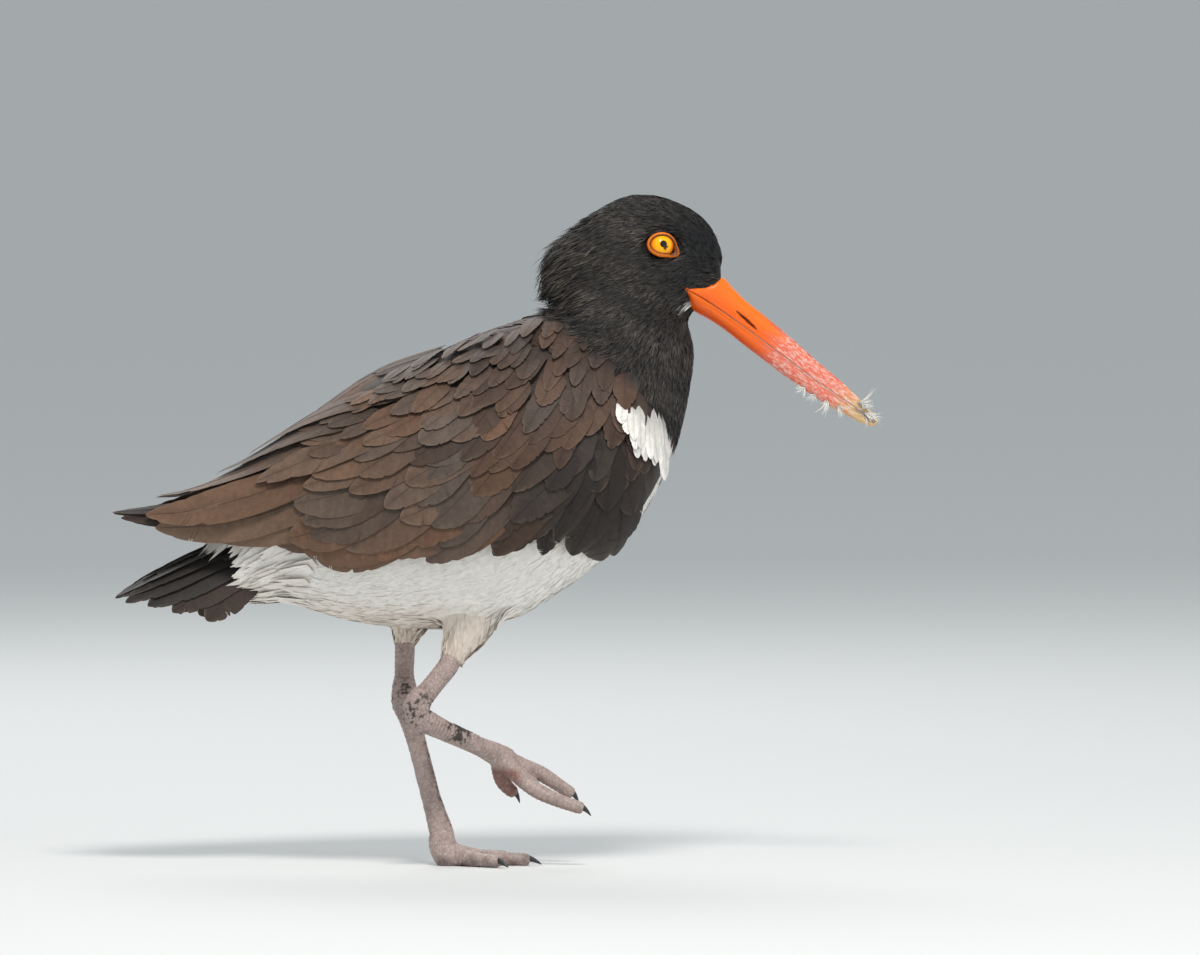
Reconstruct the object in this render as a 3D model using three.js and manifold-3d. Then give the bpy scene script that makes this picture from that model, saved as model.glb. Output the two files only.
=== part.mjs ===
// A still, life-size oystercatcher that stands on its left leg, with the right foot lifted in a slow step.
// Millimetres. +X is forward, along the bill, +Z is up, and +Y is the bird's left.
// The origin is on the sole of the standing foot, and the bird's middle plane is Y = 0.
import * as THREE from "three";
import Module from "manifold-3d";

const wasm = await Module();
wasm.setup();

// Driving dimensions
const GAP = 0.3; // left between pieces that touch
const SLACK = 0.03; // how far a joined surface may move to shed its smallest triangles
const EYE_RADIUS = 6.2;
const EYE_CENTRE = [83.7, 11.1, 254.4]; // the left eye; the right one is its mirror image
const EYE_LOOK = [0.28, 0.93, 0.18]; // which way the left eye looks
const LID_SHAPE = { long: 5.5, high: 4.3, corner: 1.1, thick: 0.85 };
const BILL_BASE = [102.5, 233.3]; // X and Z of the middle of the bill where the feathers end
const BILL_SLOPE = 37.2; // degrees below the horizon
const TARSUS_RADIUS = 3.6;
const TOE_RADIUS = 3.1;
const CLAW_LENGTH = 7;
const HEAD_CUT = { back: [30, 233], front: [104, 218.5] }; // X and Z on the line where head and neck part
const NECK_CUT = { back: [36, 231.5], front: [98, 176] };

const SKIN = {
  black: { color: 0x14120f, roughness: 0.85 },
  brown: { color: 0x35271e, roughness: 0.8 },
  white: { color: 0xe9e6e0, roughness: 0.9 },
  orange: { color: 0xe8541a, roughness: 0.35 },
  lid: { color: 0xf06212, roughness: 0.5 },
  iris: { color: 0xf2a90c, roughness: 0.1 },
  leg: { color: 0xb39a93, roughness: 0.6 },
  claw: { color: 0x1d1c1e, roughness: 0.4 },
};

const vec = (x, y, z) => new THREE.Vector3(x, y, z);
const radians = THREE.MathUtils.degToRad;

// Rows of [at, value, value...] as a smooth function of at, which never overshoots its rows.
function graph(rows) {
  const last = rows.length - 1;
  const slope = (i, c) => {
    if (i === 0 || i === last) {
      const [a, b] = i === 0 ? [0, 1] : [last - 1, last];
      return (rows[b][c] - rows[a][c]) / (rows[b][0] - rows[a][0]);
    }
    const before = (rows[i][c] - rows[i - 1][c]) / (rows[i][0] - rows[i - 1][0]);
    const after = (rows[i + 1][c] - rows[i][c]) / (rows[i + 1][0] - rows[i][0]);
    return before * after <= 0 ? 0 : (2 * before * after) / (before + after);
  };
  return (at) => {
    const x = THREE.MathUtils.clamp(at, rows[0][0], rows[last][0]);
    let i = 0;
    while (i < last - 1 && x > rows[i + 1][0]) i += 1;
    const span = rows[i + 1][0] - rows[i][0];
    const t = (x - rows[i][0]) / span;
    return rows[i].slice(1).map((start, k) => {
      const c = k + 1;
      const end = rows[i + 1][c];
      const blend = t * t * (3 - 2 * t);
      const lead = t * (1 - t) * (1 - t) * span * slope(i, c);
      const tail = t * t * (t - 1) * span * slope(i + 1, c);
      return start + (end - start) * blend + lead + tail;
    });
  };
}

// A closed solid from points and triangles, turned so that its faces point out.
function solidOf(points, faces) {
  let volume = 0;
  for (const [a, b, c] of faces) {
    volume += points[a].dot(points[b].clone().cross(points[c]));
  }
  const vertProperties = new Float32Array(points.flatMap((p) => [p.x, p.y, p.z]));
  const outward = faces.map(([a, b, c]) => (volume < 0 ? [a, c, b] : [a, b, c]));
  const triVerts = new Uint32Array(outward.flat());
  return new wasm.Manifold(new wasm.Mesh({ numProp: 3, vertProperties, triVerts }));
}

// A closed solid through rings of points, with a fan at each end.
function loft(rings) {
  const count = rings[0].length;
  const points = rings.flat();
  const faces = [];
  for (let r = 0; r < rings.length - 1; r += 1) {
    for (let i = 0; i < count; i += 1) {
      const a = r * count + i;
      const b = r * count + ((i + 1) % count);
      faces.push([a, b, a + count], [b, b + count, a + count]);
    }
  }
  for (const [r, turn] of [[0, 1], [rings.length - 1, -1]]) {
    const middle = points.length;
    points.push(rings[r].reduce((sum, p) => sum.add(p), vec(0, 0, 0)).divideScalar(count));
    for (let i = 0; i < count; i += 1) {
      const a = r * count + i;
      const b = r * count + ((i + 1) % count);
      faces.push(turn > 0 ? [b, a, middle] : [a, b, middle]);
    }
  }
  return solidOf(points, faces);
}

// A closed thin sheet from a grid of points on each face, with both faces split alike.
function sheet(upper, lower) {
  const [rows, columns] = [upper.length, upper[0].length];
  const id = (face, r, c) => (face * rows + r) * columns + c;
  const faces = [];
  for (let r = 0; r < rows - 1; r += 1) {
    for (let c = 0; c < columns - 1; c += 1) {
      const [a, b, d, e] = [id(0, r, c), id(0, r, c + 1), id(0, r + 1, c), id(0, r + 1, c + 1)];
      const under = rows * columns;
      faces.push([a, b, d], [b, e, d]);
      faces.push([a + under, d + under, b + under], [b + under, d + under, e + under]);
    }
  }
  const rim = [];
  for (let c = 0; c < columns; c += 1) rim.push([0, c]);
  for (let r = 1; r < rows; r += 1) rim.push([r, columns - 1]);
  for (let c = columns - 2; c >= 0; c -= 1) rim.push([rows - 1, c]);
  for (let r = rows - 2; r > 0; r -= 1) rim.push([r, 0]);
  rim.forEach(([r, c], i) => {
    const [nextR, nextC] = rim[(i + 1) % rim.length];
    const [p, q] = [id(0, r, c), id(0, nextR, nextC)];
    const [pUnder, qUnder] = [id(1, r, c), id(1, nextR, nextC)];
    faces.push([q, p, pUnder], [q, pUnder, qUnder]);
  });
  return solidOf([...upper.flat(), ...lower.flat()], faces);
}

// A flat oval ring: across and up are vectors from its centre, and power 2 makes an ellipse.
function oval(centre, across, up, count, power = 2) {
  return Array.from({ length: count }, (_, i) => {
    const angle = (i / count) * 2 * Math.PI;
    const [c, s] = [Math.cos(angle), Math.sin(angle)];
    const round = (v) => Math.sign(v) * Math.abs(v) ** (2 / power);
    return centre.clone().addScaledVector(across, round(c)).addScaledVector(up, round(s));
  });
}

// A limb along a line of [x, y, z, half depth, half width] rows: depth lies in the line's own upright
// plane.
function limb(rows, steps, count, grow = 0) {
  const points = rows.map(([x, y, z]) => vec(x, y, z));
  const path = new THREE.CatmullRomCurve3(points, false, "centripetal");
  const sizes = graph(rows.map((row, i) => [i, row[3], row[4]]));
  const rings = Array.from({ length: steps + 1 }, (_, k) => {
    const t = k / steps;
    const along = path.getTangent(t);
    const across = vec(0, 1, 0).addScaledVector(along, -along.y).normalize();
    const up = along.clone().cross(across);
    const [depth, width] = sizes(t * (rows.length - 1));
    const past = (k === steps) - (k === 0);
    const centre = path.getPoint(t).addScaledVector(along, past * grow);
    across.multiplyScalar(width + grow);
    up.multiplyScalar(depth + grow);
    return oval(centre, across, up, count);
  });
  return loft(rings);
}

const union = (solids) => solids.reduce((all, one) => all.add(one));
const largest = (solid) =>
  solid.decompose().reduce((best, one) => (one.volume() > best.volume() ? one : best));
const mirrored = (solid) => solid.mirror([0, 1, 0]);

// The part of a solid on one side of an upright cut through two points of the side view, half a gap off it.
function beside(solid, cut, side) {
  const [dx, dz] = [cut.front[0] - cut.back[0], cut.front[1] - cut.back[1]];
  const length = Math.hypot(dx, dz);
  const normal = [(-dz / length) * side, 0, (dx / length) * side];
  const offset = normal[0] * cut.back[0] + normal[2] * cut.back[1] + GAP / 2;
  return solid.trimByPlane(normal, offset);
}

// Trunk: rump, body and neck in one skin. Each row is a slice from a point on the back to one on the belly:
// [at, back X, back Z, belly X, belly Z, half width].
const TRUNK_POWER = 2.2;
const trunkSlice = graph([
  [0, -95, 133.5, -90, 119.5, 6],
  [1, -88, 141, -82, 114.5, 13],
  [2, -77, 153, -72, 108.5, 21],
  [3, -62, 171.5, -58.5, 103.5, 29],
  [4, -44, 189, -42, 99, 37],
  [5, -24, 203, -22, 96.5, 43],
  [6, -3, 212, 1, 95.5, 47],
  [7, 17, 220.5, 23, 99.5, 49],
  [8, 33, 225.5, 45, 112, 48.5],
  [9, 42, 228, 65.5, 128.5, 45.5],
  [10, 45.5, 229, 82, 149.5, 40],
  [11, 45, 230.5, 91.8, 172.5, 33],
  [12, 43, 234, 96.6, 193, 27],
  [13, 42.5, 239.5, 98.8, 209, 23],
  [14, 46, 247.5, 97, 220, 19.5],
  [15, 55, 256, 90, 228, 15],
]);

function trunk(grow = 0) {
  const steps = 24;
  const rings = Array.from({ length: steps + 1 }, (_, k) => {
    const [backX, backZ, bellyX, bellyZ, width] = trunkSlice((k / steps) * 15);
    const centre = vec((backX + bellyX) / 2, 0, (backZ + bellyZ) / 2);
    const up = vec(backX, 0, backZ).sub(centre);
    const height = up.length();
    up.multiplyScalar((height + grow) / height);
    return oval(centre, vec(0, width + grow, 0), up, 28, TRUNK_POWER);
  });
  return loft(rings);
}

// Head: upright slices from nape to forehead, each [X, crown Z, throat Z, half width].
const headSlice = graph([
  [37.5, 246, 237, 3],
  [40, 252, 232, 8],
  [45, 257.5, 226, 13],
  [53, 265.5, 220, 17],
  [63, 272.2, 216, 19],
  [74, 276, 216, 18.6],
  [84, 275.4, 219, 16.8],
  [93, 272, 222.5, 14],
  [100, 267.8, 225.8, 10.8],
  [105, 262.5, 228.6, 8.2],
  [108.3, 256, 231.6, 6.2],
  [109.8, 250, 235, 4.4],
]);

function head(grow = 0) {
  const steps = 16;
  const [from, to] = [37.5, 109.8];
  const rings = Array.from({ length: steps + 1 }, (_, k) => {
    const x = (from + to) / 2 - ((to - from) / 2) * Math.cos((k / steps) * Math.PI);
    const [crown, throat, width] = headSlice(x);
    const centre = vec(x, 0, (crown + throat) / 2);
    return oval(centre, vec(0, width + grow, 0), vec(0, 0, (crown - throat) / 2 + grow), 22, 2.1);
  });
  return loft(rings);
}

// Bill: slices square to its axis, each [along, culmen, mouth line, keel, half width], up from the axis.
const BILL_LENGTH = 87.4;
const billSlice = graph([
  [-9, 10.5, -1.2, -7.5, 8.2],
  [0, 11.2, -0.7, -7.4, 7.6],
  [7, 9.9, -0.3, -6.4, 6.6],
  [15, 8.9, 0, -5.9, 5.6],
  [27, 8.6, 0.2, -6.1, 4.6],
  [39, 8.0, 0.4, -6.1, 3.9],
  [54, 6.8, 0.4, -5.8, 3.1],
  [66, 6.2, 0.8, -5.0, 2.5],
  [75, 5.2, 1.2, -3.6, 2.0],
  [82, 3.9, 1.2, -2.4, 1.5],
  [BILL_LENGTH, 2.2, 1.1, -0.6, 0.9],
]);
const billAxis = vec(Math.cos(radians(BILL_SLOPE)), 0, -Math.sin(radians(BILL_SLOPE)));
const billUp = vec(Math.sin(radians(BILL_SLOPE)), 0, Math.cos(radians(BILL_SLOPE)));
const billPoint = (along, up, side = 0) =>
  vec(BILL_BASE[0], side, BILL_BASE[1]).addScaledVector(billAxis, along).addScaledVector(billUp, up);

// One half of the bill, upper or lower: a narrow arch whose flat side is the mouth line.
function billHalf(upper) {
  const steps = 13;
  const rings = Array.from({ length: steps + 1 }, (_, k) => {
    const along = -9 + (BILL_LENGTH + 9) * (k / steps) ** 0.85;
    const [culmen, mouth, keel, width] = billSlice(along);
    const edge = mouth + (upper ? GAP / 2 : -GAP / 2);
    const reach = (upper ? culmen : keel) - edge;
    const arch = [0, 25, 50, 72, 90, 108, 130, 155, 180].map((degrees) => {
      const [c, s] = [Math.cos(radians(degrees)), Math.sin(radians(degrees))];
      const side = Math.sign(c) * Math.abs(c) ** 0.75 * width;
      return billPoint(along, edge + reach * s ** 0.9, side);
    });
    return [...arch, billPoint(along, edge, -width * 0.5), billPoint(along, edge, width * 0.5)];
  });
  return loft(rings);
}

// A nostril: a slit sunk in the side of the upper bill.
function nostril(side) {
  const depth = 1.3;
  const rows = [13.5, 15.5, 19, 22.5, 24.5].map((along, i) => {
    const [, mouth, , width] = billSlice(along);
    const half = [0.15, 0.5, 0.6, 0.45, 0.15][i];
    const centre = billPoint(along, mouth + 3.4 - (along - 13.5) * 0.11, side * width * 0.97);
    return oval(centre, vec(0, depth, 0), billUp.clone().multiplyScalar(half), 6);
  });
  return loft(rows);
}

// Eyes and lids, in the eye's own frame: ahead, up and out.
function eyeFrame(side) {
  const out = vec(EYE_LOOK[0], EYE_LOOK[1] * side, EYE_LOOK[2]).normalize();
  const ahead = vec(1, 0, 0).addScaledVector(out, -out.x).normalize();
  const up = vec(0, 0, 1).addScaledVector(out, -out.z);
  up.addScaledVector(ahead, -up.dot(ahead)).normalize();
  const centre = vec(EYE_CENTRE[0], EYE_CENTRE[1] * side, EYE_CENTRE[2]);
  const at = (x, z, y) =>
    centre.clone().addScaledVector(ahead, x).addScaledVector(up, z).addScaledVector(out, y);
  return { out, ahead, up, at };
}

function eyeball(side, grow = 0) {
  const { ahead, up, at } = eyeFrame(side);
  const radius = EYE_RADIUS + grow;
  const steps = 9;
  const rings = Array.from({ length: steps - 1 }, (_, k) => {
    const angle = ((k + 1) / steps) * Math.PI;
    const r = Math.sin(angle) * radius;
    const centre = at(0, 0, Math.cos(angle) * radius);
    return oval(centre, ahead.clone().multiplyScalar(r), up.clone().multiplyScalar(r), 14);
  });
  return loft(rings);
}

// The bare rim of both lids: a ring that rides on the eyeball, drawn out to a low point in front.
function lids(side, grow = 0) {
  const { at } = eyeFrame(side);
  const { long, high, corner, thick } = LID_SHAPE;
  const count = 18;
  const sections = 5;
  const seat = EYE_RADIUS + GAP + thick;
  const points = [];
  const faces = [];
  for (let i = 0; i < count; i += 1) {
    const angle = (i / count) * 2 * Math.PI;
    const drawn = corner * Math.max(0, Math.cos(angle + radians(28))) ** 6;
    const x = (long + drawn) * Math.cos(angle);
    const z = high * Math.sin(angle) - drawn * 0.8;
    const middle = vec(x, z, Math.sqrt(seat * seat - x * x - z * z));
    const outward = middle.clone().normalize();
    const radial = vec(x, z, 0).normalize();
    radial.addScaledVector(outward, -radial.dot(outward)).normalize();
    for (let j = 0; j < sections; j += 1) {
      const turn = (j / sections) * 2 * Math.PI;
      const p = middle.clone().addScaledVector(radial, Math.cos(turn) * (thick + grow));
      p.addScaledVector(outward, Math.sin(turn) * (thick + grow));
      points.push(at(p.x, p.y, p.z));
      const a = i * sections + j;
      const b = i * sections + ((j + 1) % sections);
      const c = ((i + 1) % count) * sections + j;
      const d = ((i + 1) % count) * sections + ((j + 1) % sections);
      faces.push([a, b, c], [b, d, c]);
    }
  }
  return solidOf(points, faces);
}

// Folded wing: the surface that its feathers lie on, as upright rounded slices outside the trunk.
// Each row is [X, half width, Z of the widest place, height above it, depth below it].
const flankSlice = graph([
  [-142, 8, 142, 5.5, 6],
  [-115, 16, 142, 10.5, 10],
  [-90, 25, 144.5, 19, 18],
  [-60, 37, 148, 37, 33],
  [-30, 47, 152, 53, 50],
  [0, 52.5, 155, 61, 58],
  [15, 53.5, 158, 64.5, 60],
  [30, 54, 161, 66, 55],
  [40, 53, 162, 65, 50],
  [50, 51.5, 164, 61, 45],
  [60, 47, 166, 56, 43],
  [70, 41.5, 172, 49, 43],
  [80, 33, 180, 42, 36],
  [90, 21, 186, 36, 30],
]);

function flankPoint(x, angle, lift = 0) {
  const round = (v) => Math.sign(v) * Math.abs(v) ** (2 / TRUNK_POWER);
  const at = (px, pa) => {
    const [width, widest, rise, drop] = flankSlice(px);
    return vec(px, width * round(Math.cos(pa)), widest + (pa > 0 ? rise : drop) * round(Math.sin(pa)));
  };
  const point = at(x, angle);
  const back = at(x - 0.5, angle).sub(at(x + 0.5, angle));
  const upward = at(x, angle + 0.01).sub(at(x, angle - 0.01));
  const normal = back.cross(upward).normalize();
  if (normal.y < 0) normal.negate();
  return { point: point.addScaledVector(normal, lift), normal };
}

// Where a side-view point X, Z lies on that surface, as the angle round it. The two wings stop short of
// each other over the back.
const WING_CLEAR = 4.5;

function flankAngle(x, z) {
  const [width, widest, rise, drop] = flankSlice(x);
  const height = (z - widest) / (z > widest ? rise : drop);
  const most = Math.acos(Math.min(0.9, WING_CLEAR / width) ** (TRUNK_POWER / 2));
  const sine = Math.sign(height) * Math.abs(height) ** 1.1;
  return Math.min(most, Math.asin(THREE.MathUtils.clamp(sine, -0.99, 1)));
}

// One feather: a thin tapered vane with a raised middle. Its line is a function of 0 at the root to 1 at
// the tip, which gives a point, the way the feather faces and the way along it.
const VANE_THICK = 0.75;
const VANE_EDGE = 0.5; // thickness along its sides
const VANE_STATIONS = [[0, 0.62], [0.4, 1], [0.78, 0.88], [1, 0.2]]; // [place, part of the full width]

function vane(line, width, roll = 0) {
  const upper = [];
  const lower = [];
  for (const [t, part] of VANE_STATIONS) {
    const { point, normal, along } = line(t);
    const across = normal.clone().cross(along).normalize();
    const [level, tilt] = [Math.cos(roll), Math.sin(roll)];
    const side = across.clone().multiplyScalar(level).addScaledVector(normal, tilt);
    const face = normal.clone().multiplyScalar(level).addScaledVector(across, -tilt);
    const place = (c, up) =>
      point.clone().addScaledVector(side, (c * width * part) / 2).addScaledVector(face, up);
    const thick = VANE_THICK * (1 - 0.3 * t);
    upper.push([place(-1, VANE_EDGE / 2), place(0, thick), place(1, VANE_EDGE / 2)]);
    lower.push([place(-1, -VANE_EDGE / 2), place(0, 0), place(1, -VANE_EDGE / 2)]);
  }
  return sheet(upper, lower);
}

// Small seeded differences between feathers.
let seed = 11;
function vary(amount) {
  seed = (seed * 16807) % 2147483647;
  return ((seed / 2147483647) * 2 - 1) * amount;
}

// A vane on the flank surface from one side-view point to another, [X, Z], lifted more towards its tip.
function wingVane(root, tip, width, lift, roll) {
  const [from, to] = [flankAngle(...root), flankAngle(...tip)];
  const at = (t) => {
    const raised = lift[0] + (lift[1] - lift[0]) * Math.max(0, t) ** 0.7;
    return flankPoint(root[0] + (tip[0] - root[0]) * t, from + (to - from) * t, raised);
  };
  const line = (t) => ({ ...at(t), along: at(t + 0.02).point.sub(at(t - 0.02).point).normalize() });
  return vane(line, width, roll);
}

// How the wing's feathers lie in the side view: [X, part forward, part up].
const lie = graph([
  [-142, -0.99, -0.12],
  [-105, -0.98, -0.18],
  [-64, -0.93, -0.36],
  [-22, -0.8, -0.6],
  [18, -0.6, -0.8],
  [50, -0.3, -0.95],
  [80, -0.02, -1],
]);

// Tiers of coverts and scapulars, the lowest first: the line of their tips, from the front to the back.
const WING_TIERS = [
  {
    tips: [[65, 128], [43, 129.6], [20, 130.8], [-6, 128], [-31, 130.4], [-56, 127.5]],
    count: 7,
    length: 30.5,
    width: 18,
  },
  {
    tips: [[76, 150], [51, 151], [26, 150], [-2, 148], [-31, 146], [-64, 142]],
    count: 7,
    length: 30,
    width: 18,
  },
  {
    tips: [[80, 169], [55, 170.6], [31, 170.6], [6, 168.5], [-23, 165.6], [-54, 160]],
    count: 7,
    length: 29,
    width: 18,
  },
  {
    tips: [[62, 187], [35, 187], [10, 183], [-14, 179], [-47, 170]],
    count: 6,
    length: 29,
    width: 19,
  },
  {
    tips: [[44, 203], [18, 201], [-6, 197], [-31, 191], [-57, 177]],
    count: 5,
    length: 28,
    width: 19,
  },
];
// Long feathers of the wing's rear, as side-view root and tip with the width and both lifts.
const LONG_FEATHERS = [
  { root: [-60, 153], tip: [-130, 143.4], width: 10, lift: [-5, -2.4] },
  { root: [-60, 157], tip: [-136, 145], width: 10, lift: [-4, -1.6] },
  { root: [-60, 161], tip: [-140.5, 146.4], width: 10, lift: [-3, -0.8] },
  { root: [-20, 158], tip: [-68, 138], width: 18, lift: [-3, 0.2] },
  { root: [-32, 163], tip: [-104, 143], width: 18, lift: [-3, 0.2] },
  { root: [-54, 168], tip: [-126, 142], width: 17, lift: [-2.6, 0.6] },
  { root: [-54, 178], tip: [-122, 150.5], width: 17, lift: [-2.4, 1.2] },
  { root: [-28, 186], tip: [-88, 160], width: 18, lift: [-2.2, 1.6] },
];
const TIER_LIFT = [-3.4, 1.3]; // at the root and at the tip
const TIER_ROLL = radians(4);

function tierVanes({ tips, count, length, width }) {
  const tipLine = graph(tips.map(([x, z], i) => [i / (tips.length - 1), x, z]));
  return Array.from({ length: count }, (_, k) => {
    const [x, z] = tipLine((k + vary(0.12)) / (count - 1));
    const [forward, up] = lie(x);
    const reach = length + vary(2.5);
    const tip = [x + forward * vary(1.6), z + up * vary(1.6)];
    return wingVane([x - forward * reach, z - up * reach], tip, width + vary(1), TIER_LIFT, TIER_ROLL);
  });
}

// The wing's core under its feathers, in the side view: [X, lower edge Z, upper edge Z, thickness].
const CORE_SINK = 1.5; // how deep the core lies under the feathers' surface
const wingOutline = graph([
  [-90, 144, 150, 2],
  [-75, 141, 172, 7],
  [-60, 139, 186, 10],
  [-40, 136, 202, 12],
  [-10, 135.5, 212, 13],
  [15, 136, 210, 13],
  [40, 136, 204, 12],
  [60, 135, 196, 11],
  [74, 141, 190, 9],
  [84, 152, 180, 5],
  [88, 162, 172, 3],
]);

function wingCore(steps) {
  const [rear, front] = [-90, 88];
  const rings = Array.from({ length: steps + 1 }, (_, k) => {
    const x = rear + ((front - rear) * k) / steps;
    const [low, high, thick] = wingOutline(x);
    const [from, to] = [flankAngle(x, low), flankAngle(x, high)];
    const arc = (lift) =>
      Array.from({ length: 6 }, (_, i) => flankPoint(x, from + ((to - from) * i) / 5, lift).point);
    return [...arc(-CORE_SINK), ...arc(-CORE_SINK - thick).reverse()];
  });
  return loft(rings);
}

function wingWhole() {
  const long = LONG_FEATHERS.map(({ root, tip, width, lift }) =>
    wingVane(root, tip, width, lift, TIER_ROLL));
  return union([wingCore(18), ...long, ...WING_TIERS.flatMap(tierVanes)]);
}

// Tail: a low tent of feathers, five to a side, which slopes down behind the rump. The middle pair lies
// on top.
const TAIL_PAIRS = 5;
const TAIL_TIP = [-141, 2.8, 110.8]; // the tip of the left middle feather
const TAIL_ROOT = [-82, 1.6, 138];
const TAIL_FEATHER_WIDTH = 13.5;

function tailVane(pair, side) {
  const root = vec(TAIL_ROOT[0], (TAIL_ROOT[1] + 1.8 * pair) * side, TAIL_ROOT[2] - 4.3 * pair);
  const tipDown = 1.35 * pair + 0.12 * pair ** 2;
  const tip = vec(TAIL_TIP[0] + 1.1 * pair ** 1.9, (TAIL_TIP[1] + 4 * pair) * side, TAIL_TIP[2] - tipDown);
  tip.x += vary(0.8);
  const slope = radians(5 + 5.4 * pair) * side;
  const along = tip.clone().sub(root).normalize();
  const line = (t) => {
    const point = root.clone().lerp(tip, t);
    point.z += 2.2 * Math.sin(t * Math.PI);
    const normal = vec(0, Math.sin(slope), Math.cos(slope));
    normal.addScaledVector(along, -normal.dot(along)).normalize();
    return { point, normal, along };
  };
  return vane(line, TAIL_FEATHER_WIDTH);
}

function tailWhole() {
  // The core's rings: [X, Z, half height, half width].
  const rings = [[-82, 126, 12, 11], [-94, 121, 12, 11.5], [-104, 117.5, 9, 10], [-110, 115.5, 5, 7]];
  const core = loft(rings.map(([x, z, half, wide]) =>
    oval(vec(x, 0, z), vec(0, wide, 0), vec(0, 0, half), 12)));
  const pairs = Array.from({ length: TAIL_PAIRS }, (_, pair) => pair);
  const vanes = [1, -1].flatMap((side) => pairs.map((pair) => tailVane(pair, side)));
  return union([core, ...vanes]);
}

// Legs: rows of [x, y, z, half depth, half width].
const thighRight = [
  [9, -19, 114, 15, 9],
  [6, -20.5, 101, 12.5, 8.5],
  [0.5, -23, 89.5, 7.6, 6.4],
  [-2.5, -24.6, 83.5, 5.2, 4.9],
];
const tibiaRight = [
  [-2.2, -24.6, 84, 4.2, 3.9],
  [-8, -26.4, 76.5, 4.1, 3.5],
  [-13, -27.6, 70.5, 4.6, 3.9],
];
const ankleRight = [
  [-13.4, -27.8, 71.2, 4.9, 4.1],
  [-15.4, -28, 66.6, 5.6, 4.6],
  [-16, -27.8, 62.6, 4.2, 4],
];
const tarsusRight = [
  [-18.6, -28, 64.2, 3.4, 3.4],
  [-13.5, -26.4, 61.6, 5, 4.2],
  [-3, -20, 56, 4.1, 3.3],
  [9, -11, 50, TARSUS_RADIUS + 0.2, 3.0],
  [17, -4, 45.8, 4.6, 3.6],
];
const thighLeft = [
  [-17, 20, 112, 14, 12],
  [-19, 18, 101, 10.5, 9],
  [-20.5, 16.5, 92, 6.6, 6],
  [-20.8, 15.8, 87, 4.8, 4.6],
];
const tibiaLeft = [
  [-20.8, 15.8, 88, 4.0, 3.6],
  [-21, 14, 79, 3.9, 3.5],
  [-21, 12.5, 72.5, 4.7, 4.0],
];
const tarsusLeft = [
  [-21, 12.2, 73.5, 4.9, 4.1],
  [-20.8, 10.8, 67, 5.5, 4.4],
  [-18.6, 9, 60, 4.6, 3.7],
  [-15, 6.6, 47, TARSUS_RADIUS + 0.2, 3.1],
  [-10, 3.2, 28, TARSUS_RADIUS + 0.3, 3.1],
  [-5.5, 0.9, 13, 4.9, 3.8],
];

// A toe and the claw past it, along a line that bends down towards the tip.
function toe(points, radius) {
  const rows = points.map(([x, y, z], i) => {
    const t = i / (points.length - 1);
    const size = radius * (1.12 - 0.3 * t - 0.04 * Math.cos(t * 18));
    return [x, y, z, size, size * 1.02];
  });
  return limb(rows, 6, 7);
}

function claw(start, along, length, grow) {
  const side = along.clone().cross(vec(0, 0, 1)).normalize();
  const up = side.clone().cross(along);
  const rings = [0, 0.45, 1].map((t) => {
    const centre = start.clone().addScaledVector(along, t * length - grow);
    centre.addScaledVector(up, 0.7 - 2.4 * t * t);
    const size = 1.5 * (1 - t) ** 0.7 + 0.12 + grow;
    return oval(centre, side.clone().multiplyScalar(size * 0.8), up.clone().multiplyScalar(size), 6);
  });
  return loft(rings);
}

// Toes of the standing foot spread on the floor: [heading in degrees from +X, length].
const STANDING_TOES = { inner: [-38, 25], middle: [-3, 32], outer: [33, 27] };
const BALL = [-2.5, 0.1];
const SOLE_HEIGHT = 2.5; // from the floor to the middle of a toe

function standingToe([heading, length]) {
  const [dx, dy] = [Math.cos(radians(heading)), Math.sin(radians(heading))];
  const rise = [6.2, 4.2, SOLE_HEIGHT + 0.4, SOLE_HEIGHT + 0.2, SOLE_HEIGHT - 0.1];
  return rise.map((z, i) => {
    const reach = (length * i) / (rise.length - 1);
    return [BALL[0] + dx * reach, BALL[1] + dy * reach, z];
  });
}

function footLeft() {
  const toes = Object.values(STANDING_TOES).map((one) => toe(standingToe(one), TOE_RADIUS));
  const palm = limb(
    [[-6, 0.7, 12.4, 5, 3.9], [-5, 0.3, 8, 5.6, 5], [-2.5, 0.1, 4, 6, 6.5], [1.5, 0.1, 1, 5, 6]],
    4,
    10,
  );
  const web = limb([[-2, 0, 2.4, 1.8, 5], [5, 2, 2, 1.6, 4.6], [11, 3.8, 1.6, 1.3, 3.4]], 2, 6);
  return union([palm, web, ...toes]).trimByPlane([0, 0, 1], 0);
}

const RAISED_TOES = {
  outer: [[20, -3, 43.5], [26, -5, 37], [34, -7.5, 31], [43, -9, 27], [51.5, -10, 24.2]],
  middle: [[21, -0.5, 44], [28, 1.5, 40.5], [35, 3, 37.5], [42, 4, 33], [47.5, 4.5, 29.3]],
  inner: [[18, 1.5, 42], [18.5, 4, 38], [19.5, 6, 34.5], [21.5, 7.5, 31.5], [23.8, 8.5, 29.5]],
};

function footRight() {
  const palm = limb([[17.4, -3.6, 45.6, 4.8, 3.9], [20, -1.5, 43.5, 5.4, 5], [24, 0, 41, 4, 4.6]], 4, 10);
  const web = limb([[22, -2, 41.5, 2.2, 3.6], [28, -2, 37, 1.7, 3.8], [34, -2.2, 33.2, 1.3, 3]], 2, 6);
  const toes = Object.values(RAISED_TOES).map((points) => toe(points, TOE_RADIUS));
  return union([palm, web, ...toes]);
}

// Assembly
const bird = new THREE.Group();

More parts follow.
